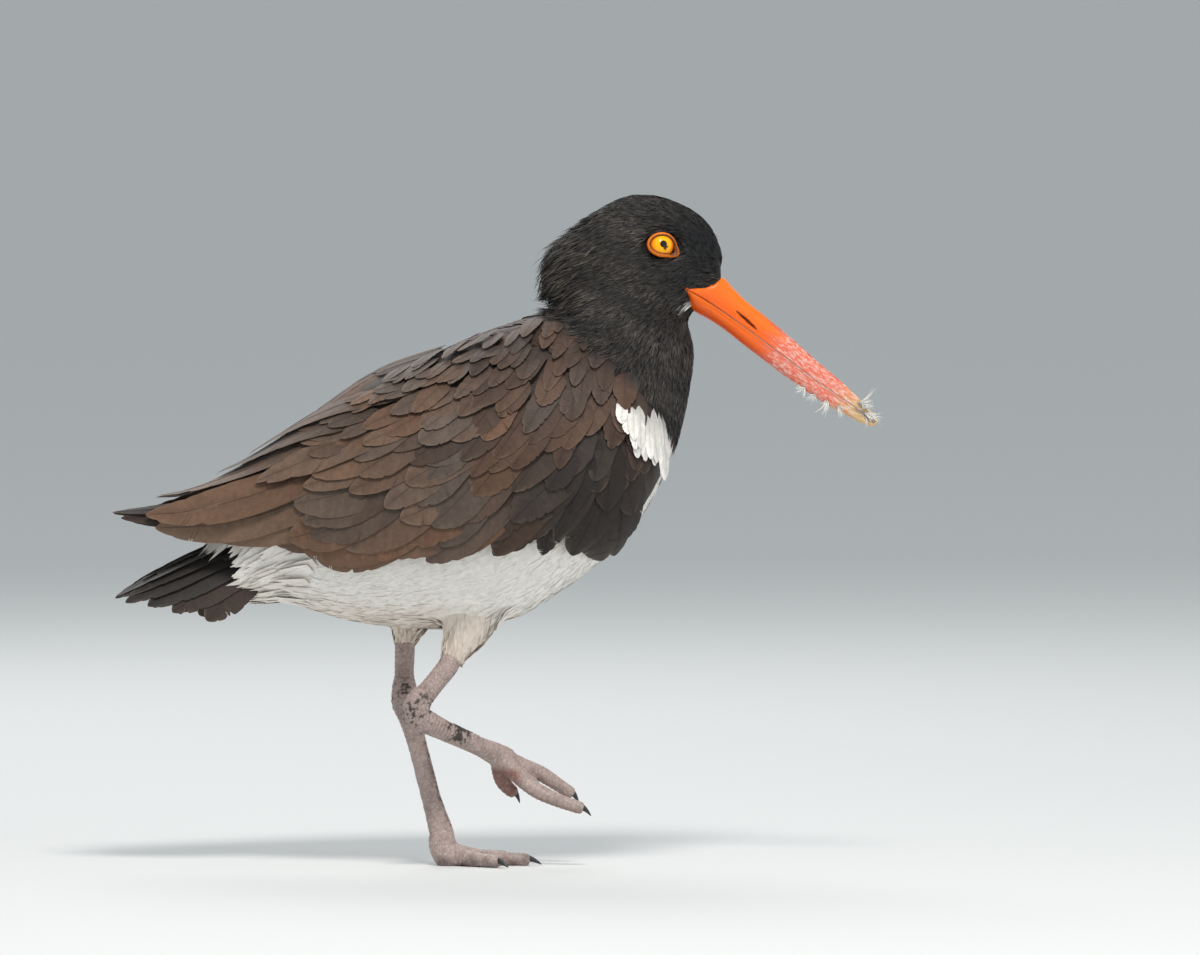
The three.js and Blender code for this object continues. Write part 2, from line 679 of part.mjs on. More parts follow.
function add(name, solid, skin) {
  const mesh = largest(solid.simplify(SLACK)).getMesh();
  const geometry = new THREE.BufferGeometry();
  geometry.setAttribute("position", new THREE.BufferAttribute(mesh.vertProperties, 3));
  geometry.setIndex(new THREE.BufferAttribute(mesh.triVerts, 1));
  geometry.computeVertexNormals();
  const made = new THREE.Mesh(geometry, new THREE.MeshStandardMaterial(SKIN[skin]));
  made.name = name;
  bird.add(made);
}

const bodyRoom = trunk(GAP);
const headRoom = head(GAP);

const trunkSolid = trunk();
add("torso", beside(trunkSolid, NECK_CUT, -1), "white");
const neckWhole = beside(trunkSolid.add(head()), NECK_CUT, 1);
add("neck", beside(neckWhole, HEAD_CUT, -1), "black");
const sockets = [1, -1].flatMap((side) => [eyeball(side, GAP), lids(side, GAP)]);
add("head", beside(neckWhole, HEAD_CUT, 1).subtract(union(sockets)), "black");

const neckRoom = trunk(GAP).add(headRoom);
add("bill_upper", billHalf(true).subtract(nostril(1)).subtract(nostril(-1)).subtract(neckRoom), "orange");
add("bill_lower", billHalf(false).subtract(neckRoom), "orange");

for (const [word, side] of [["left", 1], ["right", -1]]) {
  add(`eye_${word}`, eyeball(side), "iris");
  add(`lids_${word}`, lids(side), "lid");
}

const wing = largest(wingWhole().subtract(bodyRoom).subtract(headRoom).trimByPlane([0, 1, 0], GAP / 2));
add("wing_left", wing, "brown");
add("wing_right", mirrored(wing), "brown");
add("tail", tailWhole().subtract(bodyRoom), "black");

const legs = {
  left: [thighLeft, tibiaLeft, [tarsusLeft]],
  right: [thighRight, tibiaRight, [ankleRight, tarsusRight]],
};
const LIMB_SIDES = 10;
const limbSolid = (rows, grow) => limb(rows, Math.min(9, 2 * rows.length), LIMB_SIDES, grow);
for (const [word, [thigh, tibia, tarsus]] of Object.entries(legs)) {
  add(`thigh_${word}`, limbSolid(thigh, 0).subtract(bodyRoom), "white");
  add(`tibia_${word}`, limbSolid(tibia, 0).subtract(limbSolid(thigh, GAP)), "leg");
  const whole = union(tarsus.map((rows) => limbSolid(rows, 0)));
  add(`tarsus_${word}`, whole.subtract(limbSolid(tibia, GAP)), "leg");
}

// Each toe ends in its claw, which sits a little into the tip.
const clawAt = (points, length, grow = 0) => {
  const [before, tip] = points.slice(-2).map((p) => vec(...p));
  const along = tip.clone().sub(before).normalize();
  return claw(tip.clone().addScaledVector(along, -0.8), along, length, grow);
};
const standing = Object.entries(STANDING_TOES).map(([name, one]) => [name, standingToe(one)]);
const feet = {
  left: [footLeft(), tarsusLeft, standing, CLAW_LENGTH],
  right: [footRight(), tarsusRight, Object.entries(RAISED_TOES), CLAW_LENGTH * 0.85],
};
for (const [word, [foot, tarsus, toes, length]] of Object.entries(feet)) {
  const rooms = toes.map(([, points]) => clawAt(points, length, GAP));
  add(`foot_${word}`, foot.subtract(limbSolid(tarsus, GAP)).subtract(union(rooms)), "leg");
  for (const [name, points] of toes) add(`claw_${word}_${name}`, clawAt(points, length), "claw");
}

export default bird;
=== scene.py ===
import math

import bpy
import numpy as np
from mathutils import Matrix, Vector, noise
from mathutils.bvhtree import BVHTree
from mathutils.kdtree import KDTree


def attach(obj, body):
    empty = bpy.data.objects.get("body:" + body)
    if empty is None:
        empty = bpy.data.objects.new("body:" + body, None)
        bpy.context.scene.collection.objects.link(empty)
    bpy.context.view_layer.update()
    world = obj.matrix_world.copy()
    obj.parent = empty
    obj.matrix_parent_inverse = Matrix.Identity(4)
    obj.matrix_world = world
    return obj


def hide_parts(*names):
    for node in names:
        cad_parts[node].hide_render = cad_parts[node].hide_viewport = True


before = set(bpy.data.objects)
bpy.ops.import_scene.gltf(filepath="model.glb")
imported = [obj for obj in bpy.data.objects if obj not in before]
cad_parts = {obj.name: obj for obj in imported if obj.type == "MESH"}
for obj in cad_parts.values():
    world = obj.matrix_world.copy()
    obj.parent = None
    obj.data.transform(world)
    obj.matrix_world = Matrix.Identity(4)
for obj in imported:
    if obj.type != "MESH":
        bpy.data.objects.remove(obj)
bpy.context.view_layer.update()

# The camera stands on the bird's right, a little above it and a long way off, so the bird is seen in nearly
# true profile. Its frame is 492 mm wide at the bird.
view_centre = (0.0595, 0.0, 0.1593)
view_width = 0.492
view_distance = 6.0
view_rise = math.radians(2.5)
view_end = 200.0
sensor_width = 36.0

camera_data = bpy.data.cameras.new("camera")
camera_data.sensor_width = sensor_width
camera_data.lens = sensor_width * view_distance / view_width
camera_data.clip_end = view_end
camera = bpy.data.objects.new("camera", camera_data)
camera.location = (
    view_centre[0],
    -view_distance * math.cos(view_rise),
    view_centre[2] + view_distance * math.sin(view_rise),
)
camera.rotation_euler = (math.pi / 2 - view_rise, 0.0, 0.0)
bpy.context.scene.collection.objects.link(camera)
bpy.context.scene.camera = camera
bpy.context.scene.view_settings.view_transform = "Standard"

# The skin of trunk, neck, head and thighs, in one piece. In life it is thin and soft, and every body
# feather is rooted in it. It is built through the same slices as the solids, then sunk by the depth of the
# coat. Sizes are in millimetres: +X forward, +Y the bird's left, +Z up from the sole of the standing foot.
MM = 0.001
dice = np.random.default_rng(7)


def smooth_rows(rows):
    """Rows of [at, value, value...] as a smooth function of at, which never overshoots its rows."""
    table = np.array(rows, float)
    at, value = table[:, 0], table[:, 1:]
    step = np.diff(at)
    rate = np.diff(value, axis=0) / step[:, None]
    before, after = rate[:-1], rate[1:]
    same = before * after > 0
    inner = np.where(same, 2 * before * after / np.where(same, before + after, 1.0), 0.0)
    slope = np.vstack([rate[:1], inner, rate[-1:]])

    def read(x):
        x = np.clip(np.asarray(x, float), at[0], at[-1])
        i = np.clip(np.searchsorted(at, x, side="right") - 1, 0, len(at) - 2)
        t = ((x - at[i]) / step[i])[..., None]
        span = step[i][..., None]
        blend = t * t * (3 - 2 * t)
        lead = t * (1 - t) ** 2 * span * slope[i]
        tail = t * t * (t - 1) * span * slope[i + 1]
        return value[i] + (value[i + 1] - value[i]) * blend + lead + tail

    return read


def unit(vectors):
    """Vectors of length one."""
    return vectors / np.maximum(np.linalg.norm(vectors, axis=-1, keepdims=True), 1e-9)


def oval_rings(centres, across, up, count, power=2.0):
    """Rings of points round centres, with half axes across and up. Power 2 makes them ellipses."""
    angle = np.arange(count) / count * 2 * np.pi
    flat = np.sign(np.cos(angle)) * np.abs(np.cos(angle)) ** (2 / power)
    high = np.sign(np.sin(angle)) * np.abs(np.sin(angle)) ** (2 / power)
    return centres[:, None] + across[:, None] * flat[:, None] + up[:, None] * high[:, None]


def limb_rings(rows, steps, count):
    """Rings along a limb of [x, y, z, half depth, half width] rows. Depth lies in its upright plane."""
    rows = np.array(rows, float)
    read = smooth_rows(np.column_stack([np.arange(len(rows)), rows]))
    t = np.linspace(0, len(rows) - 1, steps)
    place = read(t)
    along = unit(np.gradient(place[:, :3], axis=0))
    across = unit(np.array([0.0, 1.0, 0.0]) - along * along[:, 1:2])
    up = np.cross(along, across)
    return oval_rings(place[:, :3], across * place[:, 4:5], up * place[:, 3:4], count)


def closed_loft(rings):
    """Points and triangles of a closed form through rings, with a fan at each end."""
    ring_count, count = rings.shape[:2]
    points = np.vstack([rings.reshape(-1, 3), rings[[0, -1]].mean(axis=1)])
    i = np.arange(count)
    j = (i + 1) % count
    rows = np.arange(ring_count - 1)[:, None] * count
    a, b, c, d = rows + i, rows + j, rows + count + i, rows + count + j
    sides = np.concatenate([np.stack([a, b, d], -1), np.stack([a, d, c], -1)]).reshape(-1, 3)
    first = ring_count * count
    last = (ring_count - 1) * count
    start = np.stack([j, i, np.full(count, first)], -1)
    end = np.stack([last + i, last + j, np.full(count, first + 1)], -1)
    return points, np.vstack([sides, start, end])


def merged(parts):
    """Several (points, triangles) as one."""
    offsets = np.cumsum([0] + [len(points) for points, _ in parts[:-1]])
    points = np.vstack([points for points, _ in parts])
    triangles = np.vstack([faces + offset for (_, faces), offset in zip(parts, offsets)])
    return points, triangles


def triangle_mesh(name, points, triangles, colours=None, patches=None):
    """An object from millimetre points and triangles, with a colour and a bake place for each point."""
    mesh = bpy.data.meshes.new(name)
    mesh.vertices.add(len(points))
    mesh.vertices.foreach_set("co", np.ascontiguousarray(points * MM, np.float32).ravel())
    mesh.loops.add(triangles.size)
    mesh.loops.foreach_set("vertex_index", np.ascontiguousarray(triangles, np.int32).ravel())
    mesh.polygons.add(len(triangles))
    mesh.polygons.foreach_set("loop_start", np.arange(0, triangles.size, 3, dtype=np.int32))
    mesh.update(calc_edges=True)
    mesh.polygons.foreach_set("use_smooth", np.ones(len(triangles), bool))
    if colours is not None:
        paint = mesh.color_attributes.new("plumage", "FLOAT_COLOR", "POINT")
        full = np.column_stack([colours, np.ones(len(colours))])
        paint.data.foreach_set("color", np.ascontiguousarray(full, np.float32).ravel())
    if patches is not None:
        layer = mesh.uv_layers.new(name="OFBake")
        layer.data.foreach_set("uv", np.ascontiguousarray(patches[triangles], np.float32).ravel())
    piece = bpy.data.objects.new(name, mesh)
    bpy.context.scene.collection.objects.link(piece)
    return piece


def remeshed(piece, voxel, smoothing):
    """The piece as one even, smooth surface: (points, triangles, point normals)."""
    remesh = piece.modifiers.new("one surface", "REMESH")
    remesh.mode = "VOXEL"
    remesh.voxel_size = voxel * MM
    soften = piece.modifiers.new("soften", "SMOOTH")
    soften.iterations = smoothing
    soften.factor = 0.5
    bpy.context.view_layer.update()
    done = piece.evaluated_get(bpy.context.evaluated_depsgraph_get()).to_mesh()
    done.calc_loop_triangles()
    points = np.empty(len(done.vertices) * 3, np.float32)
    done.vertices.foreach_get("co", points)
    normals = np.empty(len(done.vertices) * 3, np.float32)
    done.vertices.foreach_get("normal", normals)
    triangles = np.empty(len(done.loop_triangles) * 3, np.int32)
    done.loop_triangles.foreach_get("vertices", triangles)
    bpy.data.objects.remove(piece)
    return points.reshape(-1, 3) / MM, triangles.reshape(-1, 3), normals.reshape(-1, 3)


def linear(red, green, blue):
    """A colour as seen on a screen, 0 to 1, in the linear light that a shader wants."""
    seen = np.array([red, green, blue], float)
    return np.where(seen <= 0.04045, seen / 12.92, ((seen + 0.055) / 1.055) ** 2.4)


# [place, back X, back Z, belly X, belly Z, half width]
trunk_slice = smooth_rows([
    [0, -95, 133.5, -90, 119.5, 6],
    [1, -88, 141, -82, 114.5, 13],
    [2, -77, 153, -72, 108.5, 21],
    [3, -62, 171.5, -58.5, 103.5, 29],
    [4, -44, 189, -42, 99, 37],
    [5, -24, 203, -22, 96.5, 43],
    [6, -3, 212, 1, 95.5, 47],
    [7, 17, 220.5, 23, 99.5, 49],
    [8, 33, 225.5, 45, 112, 48.5],
    [9, 42, 228, 65.5, 128.5, 45.5],
    [10, 45.5, 229, 82, 149.5, 40],
    [11, 45, 230.5, 91.8, 172.5, 33],
    [12, 43, 234, 96.6, 193, 27],
    [13, 42.5, 239.5, 98.8, 209, 23],
    [14, 46, 247.5, 97, 220, 19.5],
    [15, 55, 256, 90, 228, 15],
])
# [X, crown Z, throat Z, half width]
head_slice = smooth_rows([
    [37.5, 246, 237, 3],
    [40, 252, 232, 8],
    [45, 257.5, 226, 13],
    [53, 265.5, 220, 17],
    [63, 272.2, 216, 19],
    [74, 276, 216, 18.6],
    [84, 275.4, 219, 16.8],
    [93, 272, 222.5, 14],
    [100, 267.8, 225.8, 10.8],
    [105, 262.5, 228.6, 8.2],
    [108.3, 256, 231.6, 6.2],
    [109.8, 250, 235, 4.4],
])
# Each thigh's rows, from inside the belly down: [x, y, z, half depth, half width].
thigh_rows = {
    "right": [
        [9, -19, 114, 15, 9],
        [6, -20.5, 101, 12.5, 8.5],
        [0.5, -23, 89.5, 7.6, 6.4],
        [-2.5, -24.6, 83.5, 5.2, 4.9],
    ],
    "left": [
        [-17, 20, 112, 14, 12],
        [-19, 18, 101, 10.5, 9],
        [-20.5, 16.5, 92, 6.6, 6],
        [-20.8, 15.8, 87, 4.8, 4.6],
    ],
}
TRUNK_RINGS = 120
TRUNK_SIDES = 72
HEAD_RINGS = 60
HEAD_SIDES = 56
THIGH_RINGS = 26
LIMB_SIDES = 28
SKIN_VOXEL = 1.7
SKIN_SMOOTHING = 7
COAT_DEPTH = {"body": 2.2, "head": 1.5, "face": 0.7}

back_x, back_z, belly_x, belly_z, half_width = trunk_slice(np.linspace(0, 15, TRUNK_RINGS)).T
middle = np.zeros(TRUNK_RINGS)
trunk_centre = np.column_stack([(back_x + belly_x) / 2, middle, (back_z + belly_z) / 2])
trunk_up = np.column_stack([(back_x - belly_x) / 2, middle, (back_z - belly_z) / 2])
trunk_across = np.column_stack([middle, half_width, middle])
trunk_rings = oval_rings(trunk_centre, trunk_across, trunk_up, TRUNK_SIDES, 2.2)

# The head's rings lie closer together towards the nape and the bill.
HEAD_MIDDLE = 73.65
HEAD_HALF = 36.15
head_x = HEAD_MIDDLE - HEAD_HALF * np.cos(np.linspace(0, 1, HEAD_RINGS) * np.pi)
crown_z, throat_z, half_width = head_slice(head_x).T
middle = np.zeros(HEAD_RINGS)
head_centre = np.column_stack([head_x, middle, (crown_z + throat_z) / 2])
head_up = np.column_stack([middle, middle, (crown_z - throat_z) / 2])
head_across = np.column_stack([middle, half_width, middle])
head_rings = oval_rings(head_centre, head_across, head_up, HEAD_SIDES, 2.1)

thigh_rings = {side: limb_rings(rows, THIGH_RINGS, LIMB_SIDES) for side, rows in thigh_rows.items()}
flesh = merged([closed_loft(r) for r in (trunk_rings, head_rings, *thigh_rings.values())])
flesh = triangle_mesh("flesh", *flesh)
skin_points, skin_triangles, skin_normals = remeshed(flesh, SKIN_VOXEL, SKIN_SMOOTHING)

# Each point of the skin gets its place on the unwrap of the slices: one way is round them, the other along.
# Islands of that map, each with its near corner and its size. The last two are the thighs.
islands = [
    (trunk_rings, (0.01, 0.01), (0.97, 0.55)),
    (head_rings, (0.01, 0.6), (0.5, 0.36)),
    (thigh_rings["right"], (0.56, 0.6), (0.4, 0.16)),
    (thigh_rings["left"], (0.56, 0.8), (0.4, 0.16)),
]
landmarks = KDTree(sum(rings.shape[0] * rings.shape[1] for rings, _, _ in islands))
places = []
island_of = []
for number, (rings, corner, size) in enumerate(islands):
    ring_count, count = rings.shape[:2]
    for r in range(ring_count):
        for i in range(count):
            landmarks.insert(rings[r, i], len(places))
            # The seam runs under the belly, at the lowest point of each slice.
            turn = ((i / count) + 0.25) % 1.0
            places.append((corner[0] + size[0] * turn, corner[1] + size[1] * r / (ring_count - 1)))
            island_of.append(number)
landmarks.balance()
nearest = [landmarks.find(point)[1] for point in skin_points]
skin_places = np.array(places)[nearest]
skin_island = np.array(island_of)[nearest]

THIGHS_FROM = 2


def head_share(points):
    """Whether each point is on the head, 1, or on the body, 0, with a soft change at the neck."""
    return np.clip((points[:, 2] - 0.55 * points[:, 0] - 176) / 16, 0, 1)


on_head = head_share(skin_points) * (skin_island < THIGHS_FROM)
on_face = np.clip((skin_points[:, 0] - 88) / 14, 0, 1) * on_head
depth = COAT_DEPTH["body"] + (COAT_DEPTH["head"] - COAT_DEPTH["body"]) * on_head
depth = depth + (COAT_DEPTH["face"] - depth) * on_face
skin_points = skin_points - skin_normals * depth[:, None]

# The eyes, and the sockets that the skin leaves for them.
EYE_RADIUS = 6.2
EYE_CENTRE = np.array([83.7, 11.1, 254.4])
EYE_LOOK = np.array([0.28, 0.93, 0.18])


def eye_frame(side):
    """An eye's centre, and its own ahead, up and out."""
    turn = np.array([1.0, side, 1.0])
    out = unit(EYE_LOOK * turn)
    ahead = unit(np.array([1.0, 0.0, 0.0]) - out * out[0])
    up = np.array([0.0, 0.0, 1.0]) - out * out[2]
    up = unit(up - ahead * up.dot(ahead))
    return EYE_CENTRE * turn, ahead, up, out


# A socket's half length and height, how far it lies ahead of and below the eyeball's middle, how softly its
# edge fades, and how its floor clears the eyeball and lies deeper than it.
SOCKET = {"long": 7.3, "high": 5.8, "ahead": 0.4, "down": 0.2, "soft": 0.45, "clear": 0.45, "deep": 1.0}
SOCKET_FLAT_FROM = 42.0
for side in (1, -1):
    centre, ahead, up, out = eye_frame(side)
    gap = skin_points - centre
    local = np.stack([gap @ ahead - SOCKET["ahead"], gap @ up + SOCKET["down"], gap @ out], -1)
    reach = np.hypot(local[:, 0] / SOCKET["long"], local[:, 1] / SOCKET["high"])
    flat = np.minimum(local[:, 0] ** 2 + local[:, 1] ** 2, SOCKET_FLAT_FROM)
    floor_height = np.sqrt((EYE_RADIUS + SOCKET["clear"]) ** 2 - flat * 0.95) - SOCKET["deep"]
    share = np.clip((1 + SOCKET["soft"] - reach) / SOCKET["soft"], 0, 1)
    share = share * share * (3 - 2 * share) * (local[:, 2] > 0)
    skin_points = skin_points + out * (np.minimum(floor_height - local[:, 2], 0) * share)[:, None]

# Markings: a black hood and neck, a brown back, and white from the breast to the vent. They are in the
# feathers' own pigment, and skin and coat share them, except that the white is painted warmer and darker
# low down, as painted shade under the body.
BLACK = linear(0.105, 0.10, 0.10)
BROWN = linear(0.34, 0.265, 0.215)
WHITE = linear(0.93, 0.915, 0.89)
WARM_WHITE_AND_SHADE = linear(0.86, 0.80, 0.74)
hood_edge = smooth_rows([[20, 232], [38, 228], [58, 213], [76, 197], [87, 184], [93, 175], [110, 171]])
white_edge = smooth_rows([
    [-110, 131], [-92, 134], [-80, 140], [-66, 146], [-50, 150], [0, 158], [60, 176], [76, 186], [110, 190],
])
HOOD, BACK, UNDERSIDE = 0, 1, 2


def markings(points):
    """The plumage colour at each point, and which marking it is: hood, back or underside."""
    x, y, z = points[:, 0], points[:, 1], points[:, 2]
    ragged = 1.6 * np.sin(y * 0.9 + x * 0.35) + 1.1 * np.sin(x * 0.8 - y * 1.7)
    hood = z + ragged > hood_edge(x)[:, 0]
    white = ~hood & (z + ragged < white_edge(x)[:, 0])
    kind = np.where(hood, HOOD, np.where(white, UNDERSIDE, BACK))
    # Low down the white is painted warmer and darker, as painted shade under the body.
    low_shade = np.clip((112 - z) / 16, 0, 1)[:, None]
    colour = np.where(white[:, None], WHITE + (WARM_WHITE_AND_SHADE - WHITE) * low_shade, BROWN)
    return np.where(hood[:, None], BLACK, colour), kind


def set_values(node, values):
    """Gives a node's own sockets their values, by the sockets' names."""
    for socket, value in values.items():
        node.inputs[socket].default_value = value


def new_material(name):
    """A material, its shader, and the ways to add a node with its values and to link two nodes."""
    material = bpy.data.materials.new(name)
    material.use_nodes = True
    tree = material.node_tree

    def add(kind, values=None):
        node = tree.nodes.new(f"ShaderNode{kind}")
        set_values(node, values or {})
        return node

    return material, tree.nodes["Principled BSDF"], add, tree.links.new


def feather_material(name, grain, roughness, sheen, spread=(0.78, 1.18), specular=0.35):
    """Plumage: the painted colour, mottled, with a fine barb grain in its relief."""
    material, shader, add, link = new_material(name)
    paint = add("Attribute")
    paint.attribute_name = "plumage"
    spot = add("TexCoord")
    mottle = add("TexNoise", {"Scale": grain * 0.35, "Detail": 5.0})
    range_of = add("MapRange", {"From Min": 0.3, "From Max": 0.7, "To Min": spread[0], "To Max": spread[1]})
    shade = add("VectorMath")
    shade.operation = "SCALE"
    barbs = add("TexNoise", {"Scale": grain, "Detail": 3.0})
    dull = add("MapRange", {"To Min": roughness - 0.12, "To Max": roughness + 0.12})
    relief = add("Bump", {"Strength": 0.35, "Distance": 0.0004})
    link(spot.outputs["Object"], mottle.inputs["Vector"])
    link(spot.outputs["Object"], barbs.inputs["Vector"])
    link(mottle.outputs["Fac"], range_of.inputs["Value"])
    link(paint.outputs["Color"], shade.inputs[0])
    link(range_of.outputs["Result"], shade.inputs["Scale"])
    link(shade.outputs["Vector"], shader.inputs["Base Color"])
    link(barbs.outputs["Fac"], dull.inputs["Value"])
    link(dull.outputs["Result"], shader.inputs["Roughness"])
    link(barbs.outputs["Fac"], relief.inputs["Height"])
    link(relief.outputs["Normal"], shader.inputs["Normal"])
    set_values(shader, {"Sheen Weight": sheen, "Sheen Roughness": 0.4, "Specular IOR Level": specular})
    return material


# Where the skin is bare: round the eyes, where the lids sit, and at the corner of the mouth, where it is as
# orange as the bill that grows out of it.
BARE_LIDS = {"long": 7.1, "high": 5.5, "ahead": 0.35, "down": 0.2}


def over_eye(points):
    """Whether each point lies over the lids of either eye."""
    over = np.zeros(points.shape[:-1], bool)
    for side in (1, -1):
        centre, ahead, up, out = eye_frame(side)
        gap = points - centre
        length = (gap @ ahead - BARE_LIDS["ahead"]) / BARE_LIDS["long"]
        height = (gap @ up + BARE_LIDS["down"]) / BARE_LIDS["high"]
        over |= (length**2 + height**2 < 1) & (gap @ out > 0)
    return over


bill_base = np.array([102.5, 0.0, 233.3])
BILL_SLOPE = math.radians(37.2)
bill_along = np.array([math.cos(BILL_SLOPE), 0.0, -math.sin(BILL_SLOPE)])
bill_up = np.array([math.sin(BILL_SLOPE), 0.0, math.cos(BILL_SLOPE)])
# How far the mouth's corner lies behind the bill's base and below its axis, and where the bare chin ends.
GAPE = 8.8
GAPE_DROP = -2.0
CHIN_FROM = -2.2
CHIN_DROP = -7.6
MOUTH_PAINT_DROP = -5.5
MOUTH_ORANGE = linear(0.90, 0.36, 0.02)


def over_bill(points):
    """Whether each point lies on the bare bill or the corner of its mouth."""
    gap = points - bill_base
    along, up = gap @ bill_along, gap @ bill_up
    from_corner = along + GAPE
    above = up < GAPE_DROP + from_corner * 0.92
    below = up > np.where(along < CHIN_FROM, GAPE_DROP - 0.25 * from_corner, CHIN_DROP)
    return (from_corner > 0) & above & below


skin_colours, skin_kind = markings(skin_points)
# The skin is painted darker than the coat over it, to 0.6 on hood and back and 0.95 under the body, as
# painted shade beneath the feathers.
skin_colours = skin_colours * np.where(skin_kind == UNDERSIDE, 0.95, 0.6)[:, None]
skin_colours = np.where((skin_island >= THIGHS_FROM)[:, None], WARM_WHITE_AND_SHADE, skin_colours)
at_mouth = over_bill(skin_points) & ((skin_points - bill_base) @ bill_up > MOUTH_PAINT_DROP)
skin_colours = np.where(at_mouth[:, None], MOUTH_ORANGE, skin_colours)
skin = triangle_mesh("skin", skin_points, skin_triangles, skin_colours, skin_places)
skin.data.materials.append(feather_material("down over skin", 900, 0.85, 0.1))
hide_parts("torso", "neck", "head", "thigh_left", "thigh_right")
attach(skin, "root")

# Body feathers: small loose tufts rooted in the skin, with split, hair-like barbs. They point back over the
# head, down the neck and breast, and back along the belly. They are shortest at the face, and longest and
# raggedest at the nape.
skin_tree = BVHTree.FromPolygons([Vector(p) for p in skin_points], skin_triangles.tolist())
# Side-view places with the way that feathers lie there: [X, Z, forward, up].
lie_marks = np.array([
    [108, 240, -1, -0.1], [107, 255, -0.6, 0.8], [100, 268, -0.85, 0.5], [88, 274, -1, 0.1],
    [72, 277, -1, -0.1], [55, 267, -0.92, -0.38], [42, 252, -0.9, -0.42], [38, 240, -0.9, -0.42],
    [46, 230, -0.93, -0.36], [84, 252, -0.95, -0.3], [96, 232, -0.9, -0.4], [98, 222, -0.8, -0.6],
    [72, 238, -0.88, -0.48], [58, 240, -0.9, -0.44], [72, 218, -0.6, -0.8], [96, 208, -0.15, -1],
    [80, 198, -0.4, -0.92], [62, 215, -0.75, -0.66], [98, 190, 0, -1], [93, 170, -0.25, -0.97],
    [75, 140, -0.6, -0.8], [45, 112, -0.88, -0.45], [0, 96, -1, 0.02], [-40, 99, -1, 0.1],
    [-80, 112, -1, 0.2], [-90, 125, -1, 0], [30, 225, -0.95, -0.3], [0, 213, -0.93, -0.37],
    [-40, 190, -0.85, -0.53], [-75, 155, -0.8, -0.6], [40, 150, -0.7, -0.7],
    [-20, 130, -0.97, -0.2],
])
thigh_lie = np.array([-0.12, 0.0, -1.0])


def lie_at(points, normals, on_thigh):
    """The way along the surface in which feathers lie at each point."""
    gap = points[:, None, [0, 2]] - lie_marks[None, :, :2]
    weight = 1.0 / (np.sum(gap * gap, axis=2) + 4.0) ** 2
    side_view = (weight[:, :, None] * lie_marks[None, :, 2:]).sum(1) / weight.sum(1)[:, None]
    way = np.column_stack([side_view[:, 0], np.zeros(len(points)), side_view[:, 1]])
    way[on_thigh] = thigh_lie
    way = way - normals * np.sum(way * normals, axis=1, keepdims=True)
    return unit(way)


def walk(starts, on_thigh, reach, stations, wander=0.0):
    """Lines over the skin from each start along the lie: points and normals, (count, stations, 3)."""
    lines = []
    facing = []
    here = starts
    stray = dice.normal(0, wander, (len(starts), 1))
    for _ in range(stations):
        found = [skin_tree.find_nearest(p) for p in here]
        here = np.array([f[0] for f in found])
        index = np.array([f[2] for f in found])
        normals = unit(skin_normals[skin_triangles[index]].mean(axis=1))
        lines.append(here)
        facing.append(normals)
        way = lie_at(here, normals, on_thigh)
        way = unit(way + np.cross(normals, way) * stray)
        here = here + way * (reach / (stations - 1))[:, None]
    return np.stack(lines, 1), np.stack(facing, 1)


def scattered_roots(density):
    """Roots spread evenly over the skin, so many to a square millimetre: place, triangle and bake place."""
    corner = skin_points[skin_triangles]
    first_side, second_side = corner[:, 1] - corner[:, 0], corner[:, 2] - corner[:, 0]
    area = 0.5 * np.linalg.norm(np.cross(first_side, second_side), axis=1)
    wanted = area * density
    count = np.floor(wanted + dice.random(len(wanted))).astype(int)
    chosen = np.repeat(np.arange(len(wanted)), count)
    share = dice.dirichlet((1, 1, 1), len(chosen))
    roots = (corner[chosen] * share[:, :, None]).sum(1)
    place = skin_places[skin_triangles[chosen]]
    torn = (place.max(1) - place.min(1)).max(1) > 0.05
    mean = (place * share[:, :, None]).sum(1)
    return roots, chosen, np.where(torn[:, None], place[:, 0], mean)


def along_lines(lines, s):
    """Points at places s, 0 to 1, along each line. s is (count, n)."""
    last = lines.shape[1] - 1
    spot = np.clip(s, 0, 1) * last
    i = np.minimum(spot.astype(int), last - 1)
    part = (spot - i)[..., None]
    row = np.arange(len(lines))[:, None]
    return lines[row, i] * (1 - part) + lines[row, i + 1] * part


PATCH = 0.003
BLADE_POINTS = 7


